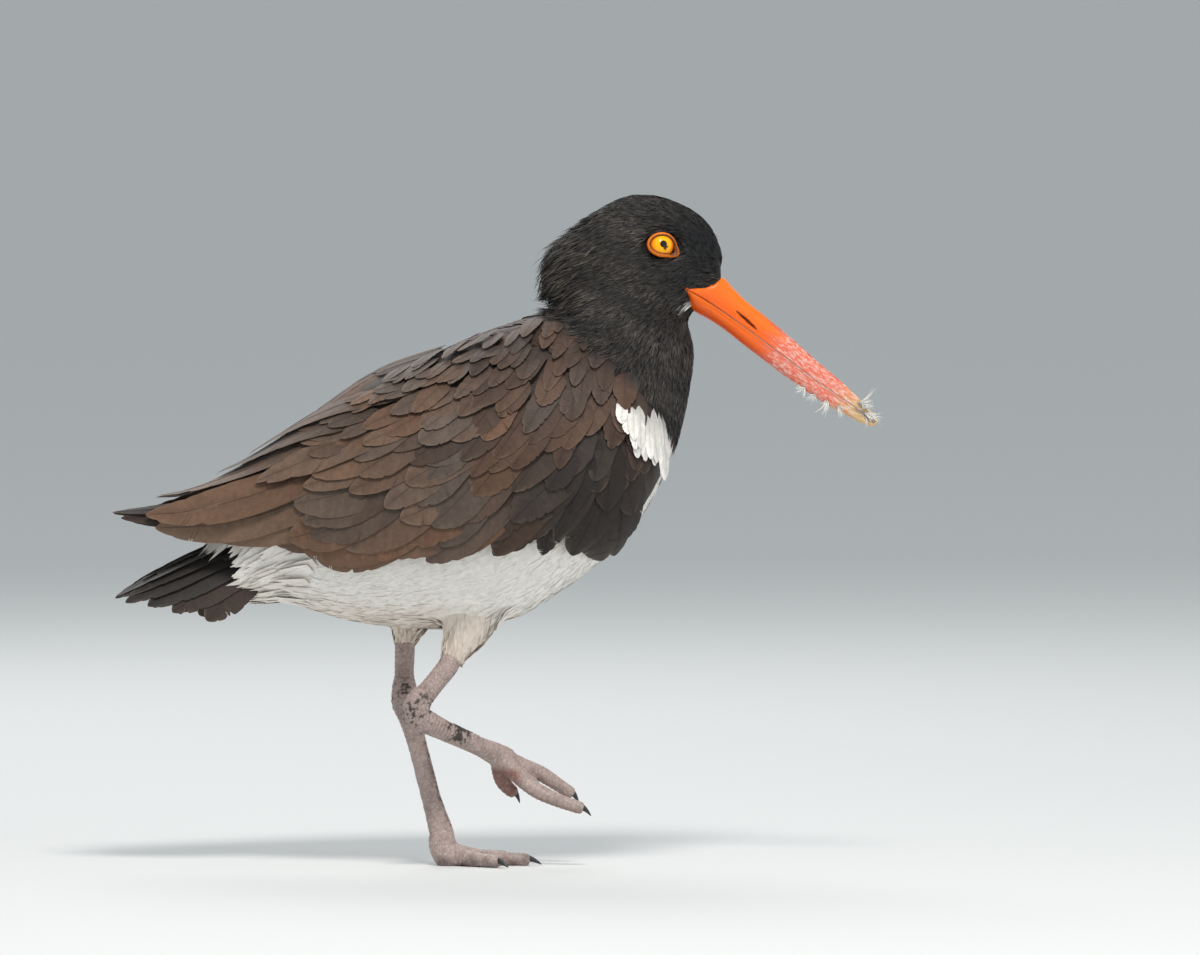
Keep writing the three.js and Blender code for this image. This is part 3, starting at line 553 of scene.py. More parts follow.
def tufts(
    name, lines, facing, width, rise, colours, places,
    blades=4, fine=1.0, painted_tip_highlight=1.25, splay=0.35, even=0.0,
):
    """Joined tufts of narrow tapering blades. rise is how far each tuft's tip stands off the skin. Each
    blade is painted darker at its root, as painted shade under the tufts over it, and lighter at its tip,
    as a painted highlight; even evens both out.
    """
    count = len(lines)
    spots = np.linspace(0, 1, 4)
    across_all = unit(np.cross(facing, np.gradient(lines, axis=1)))
    points, shades, patches = [], [], []
    for b in range(blades):
        seat = (b + 0.5) / blades * 2 - 1 + dice.normal(0, 0.12, count)
        length = dice.uniform(0.72, 1.0, count)
        drift = dice.normal(0, splay, count)
        roll = dice.normal(0, 0.45, count) * (1 - even)
        lift = rise * dice.uniform(0.45, 1.1, count)
        tone = 1 + (dice.uniform(0.55, 1.35, count) - 1) * (1 - even)
        s = spots[None] * length[:, None]
        centre = along_lines(lines, s)
        normal = unit(along_lines(facing, s))
        across = unit(along_lines(across_all, s))
        offset = (seat[:, None] * (0.5 + 0.5 * spots) + drift[:, None] * spots**1.6) * width[:, None] / 2
        height = 0.15 + lift[:, None] * spots**0.8
        centre = centre + across * offset[..., None] + normal * height[..., None]
        turned = across * np.cos(roll)[:, None, None] + normal * np.sin(roll)[:, None, None]
        half = fine * width[:, None] / blades * np.array([0.55, 0.75, 0.5, 0.0])
        left = centre - turned * half[..., None]
        right = centre + turned * half[..., None]
        blade = np.concatenate([left[:, :3], right[:, :3], centre[:, 3:]], axis=1)
        points.append(blade)
        # Painted shade at each blade's root and a painted highlight at its tip.
        light = np.array([0.5, 0.8, 1.05, 0.5, 0.8, 1.05, painted_tip_highlight])
        light = light + (1 - light) * even
        shades.append(colours[:, None] * (light[None] * tone[:, None])[..., None])
        u = places[:, None, 0] + PATCH * 0.5 * np.clip(seat, -1, 1)[:, None] * np.ones(BLADE_POINTS)
        v = places[:, None, 1] + PATCH * (np.array([0, 0.33, 0.66, 0, 0.33, 0.66, 1.0]) - 0.5)[None]
        side = np.array([-1, -1, -1, 1, 1, 1, 0]) * PATCH * 0.4 / blades
        patches.append(np.stack([u + side[None], v], -1))
    points = np.stack(points, 1).reshape(-1, 3)
    shades = np.stack(shades, 1).reshape(-1, 3)
    patches = np.stack(patches, 1).reshape(-1, 2)
    pattern = np.array([[0, 3, 1], [3, 4, 1], [1, 4, 2], [4, 5, 2], [2, 5, 6]])
    triangles = (np.arange(count * blades)[:, None, None] * BLADE_POINTS + pattern[None]).reshape(-1, 3)
    return triangle_mesh(name, points, triangles, np.clip(shades, 0, 1), patches)


# The folded wing's outline as it covers the flank, in the side view: [X, lower edge Z, upper edge Z].
wing_cover = smooth_rows([
    [-95, 147, 149], [-75, 146, 166], [-40, 142, 194], [0, 142, 206], [40, 142, 203], [66, 140, 190],
    [80, 158, 176], [84, 166, 168],
])


def under_wing(points):
    """Whether each point is covered by a folded wing."""
    low, high = wing_cover(points[:, 0]).T
    inside = (points[:, 0] > -92) & (points[:, 0] < 80)
    return inside & (points[:, 2] > low) & (points[:, 2] < high) & (np.abs(points[:, 1]) > 16)


# Roots to each square millimetre of skin. Each kind of feather grows from a share of them.
ROOT_DENSITY = 0.95
roots, root_triangle, root_place = scattered_roots(ROOT_DENSITY)
root_island = skin_island[skin_triangles[root_triangle, 0]]
root_thigh = root_island >= THIGHS_FROM
_, root_kind = markings(roots)
root_kind = np.where(root_thigh, UNDERSIDE, root_kind)
bare = over_eye(roots) | over_bill(roots) | under_wing(roots) & ~root_thigh
x, _, z = roots.T
headness = head_share(roots)
faceness = np.clip((x - 84) / 18, 0, 1) * headness
napeness = np.clip((62 - x) / 14, 0, 1) * np.clip((z - 222) / 8, 0, 1)
raggedness = np.clip((50 - x) / 7, 0, 1) * np.clip((z - 224) / 6, 0, 1)

black_feathers = feather_material("black head feathers", 1500, 0.6, 0.12, (0.7, 1.5), 0.32)
white_feathers = feather_material("white body feathers", 1100, 0.8, 0.2, (0.93, 1.04), 0.25)

# Black tufts, in three pieces: face, hood and neck.
keep_share = np.where(headness > 0.5, 1.0, 0.62)
black_ones = (root_kind == HOOD) & ~bare & ~root_thigh & (dice.random(len(roots)) < keep_share)
groups = {
    "face_feathers": black_ones & (faceness > 0.25),
    "hood_feathers": black_ones & (faceness <= 0.25) & (headness > 0.6),
    "neck_feathers": black_ones & (faceness <= 0.25) & (headness <= 0.6),
}
GREY_BROWN = linear(0.37, 0.335, 0.305)
FACE_BLACK = linear(0.075, 0.08, 0.09)
MOUTH_CORNER = (97.5, 231.0)
for name, group in groups.items():
    at_root = roots[group]
    face, nape, head_part = faceness[group], napeness[group], headness[group]
    ragged = raggedness[group] * (dice.random(group.sum()) < 0.3)
    reach = 8.5 - 1.5 * head_part - 3.6 * face + 3.4 * nape
    reach = reach * dice.uniform(0.8, 1.2, len(reach)) + 3.5 * ragged
    width = 2.4 - 0.5 * head_part - 0.6 * face
    rise = 1.5 - 0.5 * head_part - 0.5 * face + nape * 4.6 * dice.random(len(reach)) ** 2.5
    rise = rise + 4.5 * ragged * dice.random(len(reach))
    lines, facing = walk(at_root, root_thigh[group], reach, 4, 0.16)
    kept = ~(over_eye(lines).any(1))
    uneven = np.sin(at_root[:, 0] * 0.21 + at_root[:, 2] * 0.33)
    # Each tuft is painted part way to grey-brown, most at the nape and least on the face: partly the
    # feathers' own grey-brown, partly painted sheen.
    light = np.clip(0.38 + 0.35 * nape + 0.18 * uneven, 0, 1)
    light = light * (1 - 0.85 * face) * dice.uniform(0.1, 1.0, len(light)) ** 1.6
    base = BLACK + (FACE_BLACK - BLACK) * np.clip(face * 1.6, 0, 1)[:, None]
    colour = base + (GREY_BROWN - base) * light[:, None]
    # A few white feathers grow at the corner of the mouth.
    corner = np.hypot(at_root[:, 0] - MOUTH_CORNER[0], (at_root[:, 2] - MOUTH_CORNER[1]) * 0.6)
    colour = np.where((corner < 1.5)[:, None], WHITE * 0.6, colour)
    piece = tufts(
        name, lines[kept], facing[kept], width[kept], rise[kept], colour[kept], root_place[group][kept],
        blades=4, fine=0.8, splay=0.5,
    )
    piece.data.materials.append(black_feathers)
    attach(piece, "root")

# White tufts: breast, belly and flanks in one length, and shorter ones on the thighs.
keep_share = np.where(root_thigh, 0.5, 0.27)
white_ones = (root_kind == UNDERSIDE) & ~bare & (dice.random(len(roots)) < keep_share)
groups = {
    "breast_feathers": white_ones & ~root_thigh & (x > 20),
    "belly_feathers": white_ones & ~root_thigh & (x <= 20),
    "thigh_feathers": white_ones & root_thigh,
}
for name, group in groups.items():
    size = np.where(root_thigh[group], 0.62, 1.0) * dice.uniform(0.85, 1.15, group.sum())
    lines, facing = walk(roots[group], root_thigh[group], 14.5 * size, 4, 0.1)
    colour, _ = markings(roots[group])
    colour = np.where(root_thigh[group][:, None], WHITE + (WARM_WHITE_AND_SHADE - WHITE) * 0.8, colour)
    piece = tufts(
        name, lines, facing, 6.6 * size, 0.75 * size, colour * dice.uniform(0.96, 1.0, (len(lines), 1)),
        root_place[group], blades=6, fine=2.6, painted_tip_highlight=1.0, splay=0.25, even=0.95,
    )
    piece.data.materials.append(white_feathers)
    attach(piece, "root")

# Mantle and scapulars: short rounded brown feathers over the back, from the hood's edge to the rump. Like
# those of wing and tail they are vaned: a keratin shaft, rooted in the skin, carries a web of barbs on
# both sides. The barbs run out from the shaft and towards the tip, and part where the edge is worn.
BITES = 6
SHAFT_STATIONS = 9


def vanes(
    name, lines, facing, width, colours, tips,
    barbs=24, fray=0.5, point=2.0, blunt=0.5, curl=0.1, places=None, patch=None,
):
    """Joined feathers along lines over a surface. width, colours and tips are one for each feather, and
    tips is the colour that its worn edge fades to. places and patch lay them on a bake map, or they fill
    a grid."""
    count = len(lines)
    length = np.linalg.norm(np.diff(lines, axis=1), axis=2).sum(1)
    across_all = unit(np.cross(facing, np.gradient(lines, axis=1)))
    cut = np.linspace(0, 1, barbs + 1) ** 0.85
    slant = 0.24
    edge_cut = 1 - (1 - cut) * (1 - slant)

    def outline(s):
        """Half of the width at place s, as a share of the widest."""
        start = np.clip(s / 0.3, 0, 1) ** 0.6
        end = np.clip((s - 0.55) / 0.45, 0, 1)
        return (0.45 + 0.55 * start) * (1 - end**point) ** blunt

    if places is None:
        columns = math.ceil(math.sqrt(count))
        cell = np.array([1.0, 1.0]) / columns
        number = np.arange(count)
        middle = np.column_stack([(number % columns) + 0.5, (number // columns) + 0.5]) * cell
        span = cell * 0.9
    else:
        middle = places
        span = np.array([patch, patch])

    points, shades, patches, triangles = [], [], [], []
    body_tone = dice.uniform(0.86, 1.1, count)
    split = dice.uniform(0.35, 1.6, (count, 2))
    wear = fray * dice.uniform(0.25, 1.0, count)
    # Wear bites into the edge in places, more and deeper towards the tip, where barbs have worn off.
    bite_place = dice.uniform(0.35, 1.03, (2, BITES, count)) ** 0.6
    bite_depth = wear * dice.uniform(0.0, 0.3, (2, BITES, count)) * np.clip(bite_place * 2 - 1, 0.1, 1)
    bite_wide = dice.uniform(0.008, 0.03, (2, BITES, count))
    wave = dice.uniform(0, 6.3, (2, count))

    def worn_off(side, t):
        """The share of the edge that is worn off at each place along one side of each feather."""
        gap = (t[None] - bite_place[side, :, :, None]) / bite_wide[side, :, :, None]
        bites = (bite_depth[side, :, :, None] * np.exp(-gap * gap)).sum(0)
        return np.clip(bites + 0.03 * (1 + np.sin(t * 9 + wave[side][:, None])), 0, 0.6)

    made = 0
    for side in (-1, 1):
        streak = np.ones(count)
        for c in range(barbs):
            streak = 0.55 * streak + 0.45 * dice.uniform(0.78, 1.22, count)
            step = cut[c + 1] - cut[c]
            torn = np.abs(cut[c] - split[:, (side + 1) // 2]) < 0.5 / barbs
            gap = torn * 0.45 * step
            t_shaft = np.column_stack([np.full(count, cut[c]), np.full(count, cut[c + 1])])
            t_edge = np.column_stack([edge_cut[c] + gap * 0.5, edge_cut[c + 1] - gap * 0.5])
            loss = worn_off((side + 1) // 2, t_edge)
            t_edge = t_edge - loss * 0.1 * (t_edge > 0.5)
            t_mid = 0.5 * t_shaft + 0.5 * t_edge - 0.1 * np.clip(t_edge - t_shaft, 0, 1)
            wide = outline(np.clip(t_edge, 0, 0.9995)) * (1 - loss)
            rows = []
            for t, share, droop in ((t_shaft, 0.0, 0.0), (t_mid, 0.55, 0.1), (t_edge, 1.0, 1.0)):
                off = side * share * wide * width[:, None] / 2
                spot = along_lines(lines, t)
                beyond = np.clip(t - 1, 0, 1)[..., None] * length[:, None, None]
                spot = spot + beyond * unit(lines[:, -1] - lines[:, -2])[:, None]
                normal = unit(along_lines(facing, t))
                across = unit(along_lines(across_all, t))
                fall = -curl * droop * wide * width[:, None] / 2
                rows.append(spot + across * off[..., None] + normal * fall[..., None])
            points.append(np.concatenate(rows, axis=1))
            tone = (body_tone * (1 + (streak - 1) * 0.8))[:, None]
            base_fade = 0.66 + 0.34 * np.clip(cut[c] / 0.5, 0, 1)
            inner = colours * tone * base_fade * 0.86
            middle_shade = colours * tone * base_fade
            edge_part = np.clip((edge_cut[c] - 0.72) / 0.28, 0, 1) ** 2 * 0.8 + 0.1
            edge_shade = middle_shade + (tips - middle_shade) * edge_part
            shades.append(np.stack([inner, inner, middle_shade, middle_shade, edge_shade, edge_shade], 1))
            u_row = np.array([0.02, 0.02, 0.5, 0.5, 1, 1])
            v_row = np.array([
                cut[c], cut[c + 1], (cut[c] + edge_cut[c]) / 2, (cut[c + 1] + edge_cut[c + 1]) / 2,
                edge_cut[c], edge_cut[c + 1],
            ])
            u = middle[:, None, 0] + span[0] * 0.5 * side * u_row[None]
            v = middle[:, None, 1] + span[1] * (v_row[None] - 0.5)
            patches.append(np.stack([u, v], -1))
            start = made + np.arange(count)[:, None, None] * 6
            pattern = np.array([[0, 2, 1], [2, 3, 1], [2, 4, 3], [4, 5, 3]])
            triangles.append((start + pattern[None]).reshape(-1, 3))
            made += count * 6
    # The shaft, a fine ridge that thins towards the tip.
    stations = np.linspace(0.0, 0.97, SHAFT_STATIONS)
    s = np.tile(stations, (count, 1))
    spot = along_lines(lines, s)
    normal = unit(along_lines(facing, s))
    across = unit(along_lines(across_all, s))
    thick = (0.34 * (1 - 0.75 * s))[..., None] * np.clip(width / 12, 0.4, 1.2)[:, None, None]
    ridge = np.stack([spot - across * thick, spot + normal * thick * 0.9, spot + across * thick], 2)
    points.append(ridge.reshape(count, -1, 3))
    ridge_points = SHAFT_STATIONS * 3
    shades.append(np.repeat((colours * 0.55)[:, None], ridge_points, axis=1))
    u_row = np.array([-1, 0, 1])[None, None]
    u = middle[:, None, None, 0] + span[0] * 0.03 * u_row * np.ones((count, SHAFT_STATIONS, 1))
    v = middle[:, None, None, 1] + span[1] * (stations[None, :, None] - 0.5) * np.ones((count, 1, 3))
    patches.append(np.stack([u, v], -1).reshape(count, -1, 2))
    pattern = []
    for station in range(SHAFT_STATIONS - 1):
        for a in (station * 3, station * 3 + 1):
            pattern += [[a, a + 1, a + 3], [a + 1, a + 4, a + 3]]
    start = made + np.arange(count)[:, None, None] * ridge_points
    triangles.append((start + np.array(pattern)[None]).reshape(-1, 3))
    points = np.vstack([p.reshape(-1, 3) for p in points])
    shades = np.vstack([p.reshape(-1, 3) for p in shades])
    patches = np.vstack([p.reshape(-1, 2) for p in patches])
    return triangle_mesh(name, points, np.vstack(triangles), np.clip(shades, 0, 1), patches)


RUSSET = linear(0.42, 0.30, 0.225)
DUSK = linear(0.335, 0.295, 0.268)
UMBER = linear(0.235, 0.18, 0.15)
SUNLIT_BROWN = linear(0.50, 0.40, 0.325)
WORN = linear(0.62, 0.54, 0.46)
SHADOW_AND_PRIMARY_BROWN = linear(0.118, 0.095, 0.085)
RED_BROWN = linear(0.225, 0.155, 0.125)


def mixed(first, second, share):
    """A blend of two colours, one for each share."""
    share = np.asarray(share, float)[..., None]
    return first + (second - first) * share


def speckle(points, fineness):
    """An uneven patchiness at each point, about -1 to 1."""
    return np.array([noise.fractal(Vector(p) * fineness, 0.9, 2.1, 4) for p in points])


brown_feathers = feather_material("brown vaned feathers", 1300, 0.62, 0.15, (0.86, 1.12), 0.3)

MANTLE_SHARE = 0.075
MANTLE_LENGTH = 15.0
MANTLE_WIDTH = 8.5
brown_ones = (root_kind == BACK) & ~bare & ~root_thigh & (dice.random(len(roots)) < MANTLE_SHARE)
from_rump = np.argsort(roots[brown_ones][:, 0])
mantle_roots = roots[brown_ones][from_rump]
mantle_place = root_place[brown_ones][from_rump]
reach = MANTLE_LENGTH * dice.uniform(0.85, 1.15, len(mantle_roots))
lines, facing = walk(mantle_roots, np.zeros(len(mantle_roots), bool), reach, 5, 0.1)
lines = lines + facing * (0.4 + 1.6 * np.linspace(0, 1, 5) ** 0.8)[None, :, None]
tone = np.clip(0.4 + 0.7 * speckle(mantle_roots, 0.06) + dice.normal(0, 0.25, len(lines)), 0, 1)
colour = mixed(mixed(UMBER, RUSSET, tone), DUSK, dice.random(len(lines)) * 0.6)
in_front = np.clip((mantle_roots[:, 0] - 5) / 35, 0, 1)
colour = mixed(colour, RED_BROWN, 0.75 * in_front)
mantle = vanes(
    "mantle_feathers", lines, facing, MANTLE_WIDTH * dice.uniform(0.85, 1.15, len(lines)), colour,
    mixed(colour, WORN, 0.22), barbs=14, fray=1.2, places=mantle_place, patch=0.01,
)
mantle.data.materials.append(brown_feathers)
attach(mantle, "root")

# Folded wings: rows of coverts over the flank, long tertials above them, and the primaries' tips under
# those at the rear. They are vaned feathers, fixed by their quills in the wing, and each lies on the next
# like a tile.

# The flank under them: [X, half width, Z of the widest place, height above it, depth below it].
flank_slice = smooth_rows([
    [-142, 8, 142, 5.5, 6],
    [-115, 16, 142, 10.5, 10],
    [-90, 25, 144.5, 19, 18],
    [-60, 37, 148, 37, 33],
    [-30, 47, 152, 53, 50],
    [0, 52.5, 155, 61, 58],
    [15, 53.5, 158, 64.5, 60],
    [30, 54, 161, 66, 55],
    [40, 53, 162, 65, 50],
    [50, 51.5, 164, 61, 45],
    [60, 47, 166, 56, 43],
    [70, 41.5, 172, 49, 43],
    [80, 33, 180, 42, 36],
    [90, 21, 186, 36, 30],
])
FLANK_POWER = 2.2
WING_CLEAR = 3.0


def flank_surface(x, angle):
    """Points of the left flank's surface."""
    width, widest, rise, drop = np.moveaxis(flank_slice(x), -1, 0)
    flat = np.sign(np.cos(angle)) * np.abs(np.cos(angle)) ** (2 / FLANK_POWER)
    high = np.sign(np.sin(angle)) * np.abs(np.sin(angle)) ** (2 / FLANK_POWER)
    return np.stack([x, width * flat, widest + np.where(angle > 0, rise, drop) * high], -1)


def flank_at(x, angle):
    """Points and outward normals of the left flank's surface."""
    step_back = flank_surface(x - 0.5, angle) - flank_surface(x + 0.5, angle)
    step_up = flank_surface(x, angle + 0.01) - flank_surface(x, angle - 0.01)
    normal = unit(np.cross(step_back, step_up))
    normal = np.where(normal[..., 1:2] < 0, -normal, normal)
    return flank_surface(x, angle), normal


def flank_angle(x, z):
    """The angle round the flank of a side-view point."""
    width, widest, rise, drop = np.moveaxis(flank_slice(x), -1, 0)
    height = (z - widest) / np.where(z > widest, rise, drop)
    most = np.arccos(np.minimum(0.9, WING_CLEAR / width) ** (FLANK_POWER / 2))
    angle = np.arcsin(np.clip(np.sign(height) * np.abs(height) ** (FLANK_POWER / 2), -0.99, 1))
    return np.minimum(most, angle)


def flank_lines(root, tip, lift, stations=9):
    """Lines over the left flank between side-view points, with their lift at the root and at the tip."""
    t = np.linspace(0, 1, stations)[None]
    from_angle = flank_angle(root[:, 0], root[:, 1])[:, None]
    to_angle = flank_angle(tip[:, 0], tip[:, 1])[:, None]
    x = root[:, :1] + (tip[:, :1] - root[:, :1]) * t
    points, normals = flank_at(x, from_angle + (to_angle - from_angle) * t)
    height = lift[:, :1] + (lift[:, 1:] - lift[:, :1]) * t**0.7
    return points + normals * height[..., None], normals


# The way in which wing feathers lie, in the side view: [X, forward, up].
wing_lie = smooth_rows([
    [-142, -0.99, -0.12], [-105, -0.98, -0.18], [-64, -0.93, -0.36], [-22, -0.8, -0.6], [18, -0.6, -0.8],
    [50, -0.3, -0.95], [80, -0.02, -1],
])
# Lines of covert tips, the lowest first, in the side view from front to back: [X, Z].
tip_lines = [
    [[66, 128], [43, 129.6], [20, 130.8], [-6, 128], [-31, 130.4], [-58, 128.5]],
    [[77, 150], [51, 151], [26, 150], [-2, 148], [-31, 146], [-70, 139]],
    [[82, 169], [55, 170.6], [31, 170.6], [6, 168.5], [-23, 165.6], [-62, 156]],
    [[70, 188], [38, 189], [10, 186], [-14, 181], [-52, 168]],
    [[56, 204], [22, 205], [-6, 200], [-31, 193], [-62, 175]],
    [[46, 222], [20, 216], [-6, 209], [-31, 199], [-64, 180]],
]
tip_readers = [
    smooth_rows([[i / (len(line) - 1), *point] for i, point in enumerate(line)]) for line in tip_lines
]


def tip_at(level, u):
    """The side-view place of a covert's tip, for a level that may lie between two of the lines."""
    low = min(int(level), len(tip_readers) - 2)
    part = level - low
    return tip_readers[low](u) * (1 - part) + tip_readers[low + 1](u) * part


# Tips of the lowest row, which leaves the belly's white showing between its groups: [X, Z].
lowest_tips = np.array([
    [65, 128.5], [60, 126.3], [48, 129], [36, 130.4], [24, 131.5], [16, 130], [-2, 129.5],
    [-11.5, 127.3], [-36, 132], [-45, 130], [-55, 127.1],
])
# Rows of coverts: the line that their tips follow, how many there are, their length and their width.
covert_rows = [
    (0.0, 11, 44, 19), (0.3, 9, 40, 18), (0.75, 10, 36, 17), (1.2, 11, 33, 16), (1.65, 12, 30, 15),
    (2.1, 12, 28, 14.5), (2.6, 13, 25, 13), (3.05, 14, 22, 11.5), (3.5, 15, 19, 10), (3.95, 16, 16, 9),
    (4.4, 17, 14, 8), (4.85, 16, 12.5, 7.5),
]
# Long feathers, primaries first and then tertials: side-view root and tip, width, and lift at root and tip.
PRIMARIES = 4
PRIMARY_LEVEL = -2.0
TERTIAL_LEVEL = -1.0
long_feathers = [
    ([-60, 153], [-131, 143.6], 9.5, [-5, -2.6]), ([-60, 156], [-135, 144.4], 9.5, [-4.6, -2.2]),
    ([-60, 158], [-138, 145.4], 9.5, [-4.0, -1.8]), ([-60, 161], [-140.5, 146.6], 9, [-3.4, -1.4]),
    ([-6, 150], [-56, 129.5], 18, [-3.4, -0.9]), ([-16, 154], [-74, 134.5], 18, [-3.2, -0.6]),
    ([-26, 157], [-92, 137.5], 18, [-3.0, -0.3]), ([-34, 160], [-108, 138.5], 18, [-2.8, 0.0]),
    ([-38, 164], [-122, 139.5], 18, [-2.6, 0.3]), ([-42, 170], [-126.5, 144.5], 18, [-2.4, 0.8]),
    ([-48, 178], [-122, 150.0], 14, [-2.2, 1.2]), ([-26, 186], [-98, 161], 16, [-2.0, 1.6]),
    ([-20, 194], [-84, 171], 14, [-1.8, 1.9]), ([-16, 184], [-80, 158], 16, [-1.7, 1.3]),
]


def blacken_hood(piece):
    """Turns a piece's colour to the hood's black where it reaches up into the hood."""
    mesh = piece.data
    spots = np.empty(len(mesh.vertices) * 3, np.float32)
    mesh.vertices.foreach_get("co", spots)
    spots = spots.reshape(-1, 3) / MM
    paint = mesh.color_attributes["plumage"]
    shade = np.empty(len(spots) * 4, np.float32)
    paint.data.foreach_get("color", shade)
    shade = shade.reshape(-1, 4)
    ragged = 1.6 * np.sin(spots[:, 0] * 0.9) + 1.2 * np.sin(spots[:, 2] * 1.3 + spots[:, 1])
    share = np.clip((spots[:, 2] - hood_edge(spots[:, 0])[:, 0] + 5 + ragged) / 9, 0, 1)[:, None]
    shade[:, :3] = shade[:, :3] + (BLACK - shade[:, :3]) * share
    paint.data.foreach_set("color", shade.ravel())


# The edges of the bed under the feathers, in the side view: [X, lower Z, upper Z].
bed_outline = smooth_rows([
    [-100, 144, 149], [-90, 144, 153], [-75, 141, 170], [-60, 138, 184], [-40, 137, 199], [-10, 136, 212],
    [15, 136, 216], [40, 136, 214], [60, 136, 200], [74, 141, 192], [82, 152, 182], [86, 160, 174],
])
BED_RINGS = 60
BED_POINTS = 26
SHINGLE = 7.0


def wing(side_name):
    """One folded wing: its feathers, and the bed that they lie on."""
    side = 1 if side_name == "left" else -1
    roots_2d, tips_2d, widths, lifts, levels = [], [], [], [], []
    for level, feathers, length, width in covert_rows:
        u = (np.arange(feathers) + dice.normal(0, 0.27, feathers)) / (feathers - 1)
        u = np.clip(u, 0, 1) ** 1.08
        tip = lowest_tips if level == 0 else tip_at(level, u)
        way = wing_lie(tip[:, 0])
        tip = tip + way * dice.normal(0, 0.3 if level < 0.5 else 2.4, feathers)[:, None]
        growth = 0.72 + 0.5 * u
        reach = length * dice.uniform(0.88, 1.15, feathers) * growth
        way = unit(way + dice.normal(0, 0.11, (feathers, 2)))
        roots_2d.append(tip - way * reach[:, None])
        tips_2d.append(tip)
        widths.append(width * dice.uniform(0.8, 1.2, feathers) * (0.82 + 0.3 * u))
        lifts.append(np.column_stack([np.full(feathers, -1.6), dice.uniform(0.5, 1.2, feathers)]))
        levels.append(np.full(feathers, level))
    long_count = len(long_feathers)
    roots_2d.append(np.array([f[0] for f in long_feathers], float))
    tips_2d.append(np.array([f[1] for f in long_feathers], float) + dice.normal(0, 0.8, (long_count, 2)))
    widths.append(np.array([f[2] for f in long_feathers], float))
    lifts.append(np.array([f[3] for f in long_feathers], float))
    levels.append(np.where(np.arange(long_count) < PRIMARIES, PRIMARY_LEVEL, TERTIAL_LEVEL))
    root, tip = np.vstack(roots_2d), np.vstack(tips_2d)
    width, lift, level = np.concatenate(widths), np.vstack(lifts), np.concatenate(levels)
    lines, facing = flank_lines(root, tip, lift)
    # Each feather is turned a little about its shaft, so that it lies on its neighbour and doesn't cut it.
    across = unit(np.cross(facing, np.gradient(lines, axis=1)))
    facing = unit(facing + across * math.tan(math.radians(SHINGLE)))
    # None crosses the middle of the back.
    over = np.clip(2.2 - lines[..., 1], 0, None)
    lines[..., 1] += over
    lines[..., 2] -= over * 0.3
    lines[..., 1] *= side
    facing[..., 1] *= side
    # Warm brown over most of the wing and grey-brown in places, with painted sunlight lightening feathers
    # at the rear and a painted shadow darkening them low down at the front.
    count = len(root)
    patchy = speckle(np.column_stack([tip[:, 0], np.full(count, 40.0 * side), tip[:, 1]]), 0.045)
    greyer = speckle(np.column_stack([tip[:, 0], np.full(count, 140.0 * side), tip[:, 1]]), 0.05)
    mix = np.clip(0.5 + 1.1 * patchy + dice.normal(0, 0.22, count), 0, 1)
    high = np.clip((tip[:, 1] - 172) / 25, 0, 1) * np.clip((25 - tip[:, 0]) / 30, 0, 1)
    grey = np.clip(0.3 + 1.3 * greyer + 0.35 * high + dice.normal(0, 0.15, count), 0, 0.85)
    colour = mixed(mixed(UMBER, RUSSET, mix), DUSK, grey)
    # Feathers at the rear are painted part way to a sunlit brown, as painted sunlight.
    rear = np.clip((0 - tip[:, 0]) / 90, 0, 1)
    colour = mixed(colour, SUNLIT_BROWN, 0.55 * rear * dice.random(count))
    # Low down at the front the feathers are painted near black, as a painted shadow; the primaries below
    # take the same dark brown as their own colour.
    shadow = np.clip((tip[:, 0] + 15) / 50, 0, 1) * np.clip((182 - tip[:, 1]) / 28, 0, 1)
    colour = mixed(colour, SHADOW_AND_PRIMARY_BROWN, 0.92 * shadow)
    redder = 0.6 * np.clip((tip[:, 0] - 5) / 40, 0, 1) * np.clip((tip[:, 1] - 168) / 20, 0, 1)
    colour = mixed(colour, RED_BROWN, redder)
    colour = np.where((level == PRIMARY_LEVEL)[:, None], mixed(SHADOW_AND_PRIMARY_BROWN, UMBER, mix), colour)
    worn = np.where(level < 0, 0.2, dice.uniform(0.05, 0.4, count) + 0.3 * high)
    feathers = vanes(
        f"wing_feathers_{side_name}", lines, facing, width, colour, mixed(colour, WORN, worn),
        barbs=40, fray=1.1, point=1.7, blunt=0.62, curl=0.05,
    )
    feathers.data.materials.append(brown_feathers)
    blacken_hood(feathers)
    # The bed: the down and the feathers' hidden bases, a closed shell just under them.
    bed_x = np.linspace(-100, 86, BED_RINGS)
    low, high = bed_outline(bed_x).T
    from_angle, to_angle = flank_angle(bed_x, low), flank_angle(bed_x, high)
    share = np.linspace(0, 1, BED_POINTS)[None]
    angle = from_angle[:, None] + (to_angle - from_angle)[:, None] * share
    points, normals = flank_at(bed_x[:, None] * np.ones((1, BED_POINTS)), angle)
    thin = 0.25 + 0.75 * np.clip(np.minimum(share, 1 - share) * 8, 0, 1)
    outer = points - normals * 2.3
    inner = points - normals * (2.6 + 3.0 * thin)[..., None]
    rings = np.concatenate([outer, inner[:, ::-1]], axis=1)
    rings[..., 1] *= side
    bed_points, bed_triangles = closed_loft(rings)
    if side < 0:
        bed_triangles = bed_triangles[:, ::-1]
    # The bed is painted a dark umber, as painted shade under the feathers.
    shade = np.tile(UMBER * 0.6, (len(bed_points), 1))
    bed = triangle_mesh(f"wing_bed_{side_name}", bed_points, bed_triangles, shade)
    bed.data.materials.append(brown_feathers)
    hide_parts(f"wing_{side_name}")
    for piece in (feathers, bed):
        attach(piece, "root")


for side_name in ("left", "right"):
    wing(side_name)

